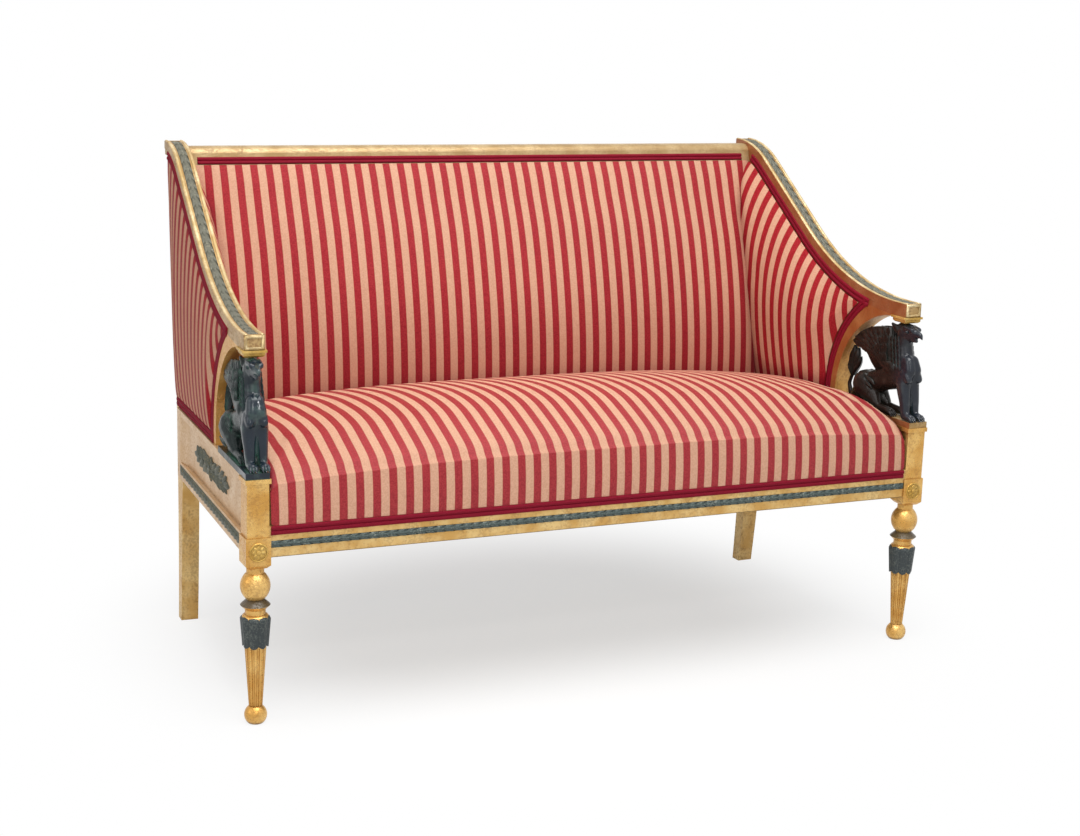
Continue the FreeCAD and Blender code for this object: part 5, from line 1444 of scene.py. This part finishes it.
# %% Feathers and claws
LIMB_SIDES = 9


def flat_leaf(work, hand, base, tip, width, out_from, rise, side):
    """Feather or leaf in the plane of the side frame, standing out on one side."""
    along = tip - base
    length = along.length
    along = along / length
    across = Vector((0, -along.z, along.y))

    def put(u, v, h):
        spot = base + along * u + across * v
        return on_side(hand, side * (out_from + h), spot.y, spot.z)
    leaf(work, put, length, width, rise, 8, 2.0)


def tube(work, hand, points, radii):
    """Round limb through points of the griffin."""
    rows = []
    for index, (point, radius) in enumerate(zip(points, radii)):
        ahead = points[min(index + 1, len(points) - 1)] - points[max(index - 1, 0)]
        first = ahead.cross(Vector((1, 0.01, 0.02))).normalized()
        second = ahead.cross(first).normalized()
        ring = []
        for k in range(LIMB_SIDES + 1):
            turn = 2 * pi * k / LIMB_SIDES
            spot = point + (first * cos(turn) + second * sin(turn)) * radius
            ring.append(on_side(hand, *spot))
        rows.append(ring)
    work.patch(rows)


def paw(work, hand, side, depth, high, across):
    """Three toes with claws in front of a paw."""
    for offset in (-0.20, 0.0, 0.20):
        spots = [in_griffin(depth + 0.03, high + 0.015, side * across + offset),
                 in_griffin(depth - 0.005, high + 0.012, side * across + offset * 1.15),
                 in_griffin(depth - 0.03, high - 0.005, side * across + offset * 1.2),
                 in_griffin(depth - 0.045, high - 0.03, side * across + offset * 1.2)]
        tube(work, hand, spots, [3.4, 3.6, 2.8, 0.6])


print("a limb has", LIMB_SIDES, "sides")

# %% Wings
WING_ROOT = (0.33, 0.47)
WING_TIPS = [(0.36, 0.925), (0.43, 0.91), (0.51, 0.90), (0.59, 0.875), (0.67, 0.835), (0.74, 0.78),
             (0.80, 0.72), (0.84, 0.66), (0.77, 0.632), (0.69, 0.625), (0.63, 0.585), (0.58, 0.53)]
WING_OUTLINE = [(0.27, 0.48), (0.30, 0.72), (0.33, 0.915), (0.42, 0.905), (0.51, 0.893), (0.60, 0.865),
                (0.73, 0.78), (0.82, 0.67), (0.77, 0.64), (0.68, 0.635), (0.61, 0.57), (0.56, 0.50),
                (0.46, 0.40)]
WING_ELBOW, WING_MIDDLE = (0.44, 0.73), (0.47, 0.68)
WING_FACES = (7.0, 13.0)  # out from the middle of the side frame
WING_TIERS = ((0.52, 1.0, 15.0, 12.4, 2.4), (0.36, 0.74, 15.0, 14.2, 2.6), (0.20, 0.52, 14.0, 15.8, 2.4),
              (0.02, 0.32, 11.0, 17.0, 2.2))  # start and end along the feather, width, face, rise


def feather_line(tip, t):
    """Point on a feather's curve: up from the shoulder, over the wing's elbow and back to the tip."""
    root, elbow = Vector(WING_ROOT), Vector(WING_ELBOW)
    bend = elbow.lerp(tip, 0.35)
    return root * (1 - t) ** 2 + bend * 2 * t * (1 - t) + tip * t ** 2


def wing(work, hand, side):
    """Plate of the wing with four tiers of feathers on its outer face."""
    outline = [in_griffin(d, h) for d, h in WING_OUTLINE]
    outline.append(outline[0])
    middle = in_griffin(*WING_MIDDLE)
    rims = [[on_side(hand, side * out, p.y, p.z) for p in outline] for out in WING_FACES]
    work.patch(rims)
    for out, rim in zip(WING_FACES, rims):
        work.patch([rim, [on_side(hand, side * out, middle.y, middle.z)] * len(rim)])
    for near, far, width, out_from, rise in WING_TIERS:
        for index, tip in enumerate(WING_TIPS):
            drawn = 1 - 0.05 * (index % 3)
            base, end = (in_griffin(*feather_line(Vector(tip), t * drawn)) for t in (near, far))
            flat_leaf(work, hand, base, end, width, out_from, rise, side)


print("feathers in a wing:", len(WING_TIERS) * len(WING_TIPS))

# %% [markdown]
# ## Carving the griffins
# Last come the leaves of the haunch, the eye, the neck's short feathers and the leaves at the end of the
# tail. Body and cutting are joined into one piece for each griffin.

# %% Griffins
NECK_FEATHER = Vector((0, 3, -17))
TUFT_TIPS = ((0.765, 0.50, 14), (0.80, 0.59, 16), (0.85, 0.61, 18), (0.885, 0.54, 16), (0.91, 0.42, 13))


def haunch(work, hand, side):
    for index in range(6):
        base = in_griffin(0.78 - 0.035 * index, 0.10 + 0.055 * index)
        tip = in_griffin(0.60 - 0.03 * index, 0.06 + 0.045 * index)
        flat_leaf(work, hand, base, tip, 9.5, 21.0, 4.0, side)


def head(work, hand, side):
    """One eye, and the feathers of the neck in rows of three."""
    eye = in_griffin(0.135, 0.915, side * 0.60)
    eye_line = [eye + Vector((side * k, 0, 0)) for k in (-2.5, 0, 1.8, 2.6)]
    tube(work, hand, eye_line, [3.4, 3.4, 2.2, 0.2])
    for row in range(6):
        for column in range(3):
            base = in_griffin(0.30 - 0.010 * row - 0.045 * column, 0.86 - 0.055 * row)
            out_from = 13.4 + 0.5 * row + 0.6 * column
            flat_leaf(work, hand, base, base + NECK_FEATHER, 10, out_from, 3.0, side)


def tail(work, hand, side):
    base = in_griffin(0.85, 0.27)
    for depth, high, width in TUFT_TIPS:
        flat_leaf(work, hand, base, in_griffin(depth, high), width, 1.0, 7.0, side)


def griffin_cutting(hand):
    """Everything that the carver cuts crisply."""
    work = Work()
    for side in (-1, 1):
        wing(work, hand, side)
        paw(work, hand, side, 0.02, 0.035, 0.50)
        paw(work, hand, side, 0.26, 0.035, 0.62)
        for cut in (haunch, head, tail):
            cut(work, hand, side)
    return work


for (hand, side), finish in zip(SIDES, (bronze_left, bronze_right)):
    carved = melted(GRIFFIN_BALLS, hand, "griffin_body_" + side)
    joined = bmesh.new()
    joined.from_mesh(carved)
    joined.from_mesh(griffin_cutting(hand).mesh("griffin_cutting_" + side))
    joined.to_mesh(carved)
    joined.free()
    set_up("carved_griffin_" + side, carved, finish, ["griffin_" + side])
    print("griffin", side, len(carved.vertices), "corners")
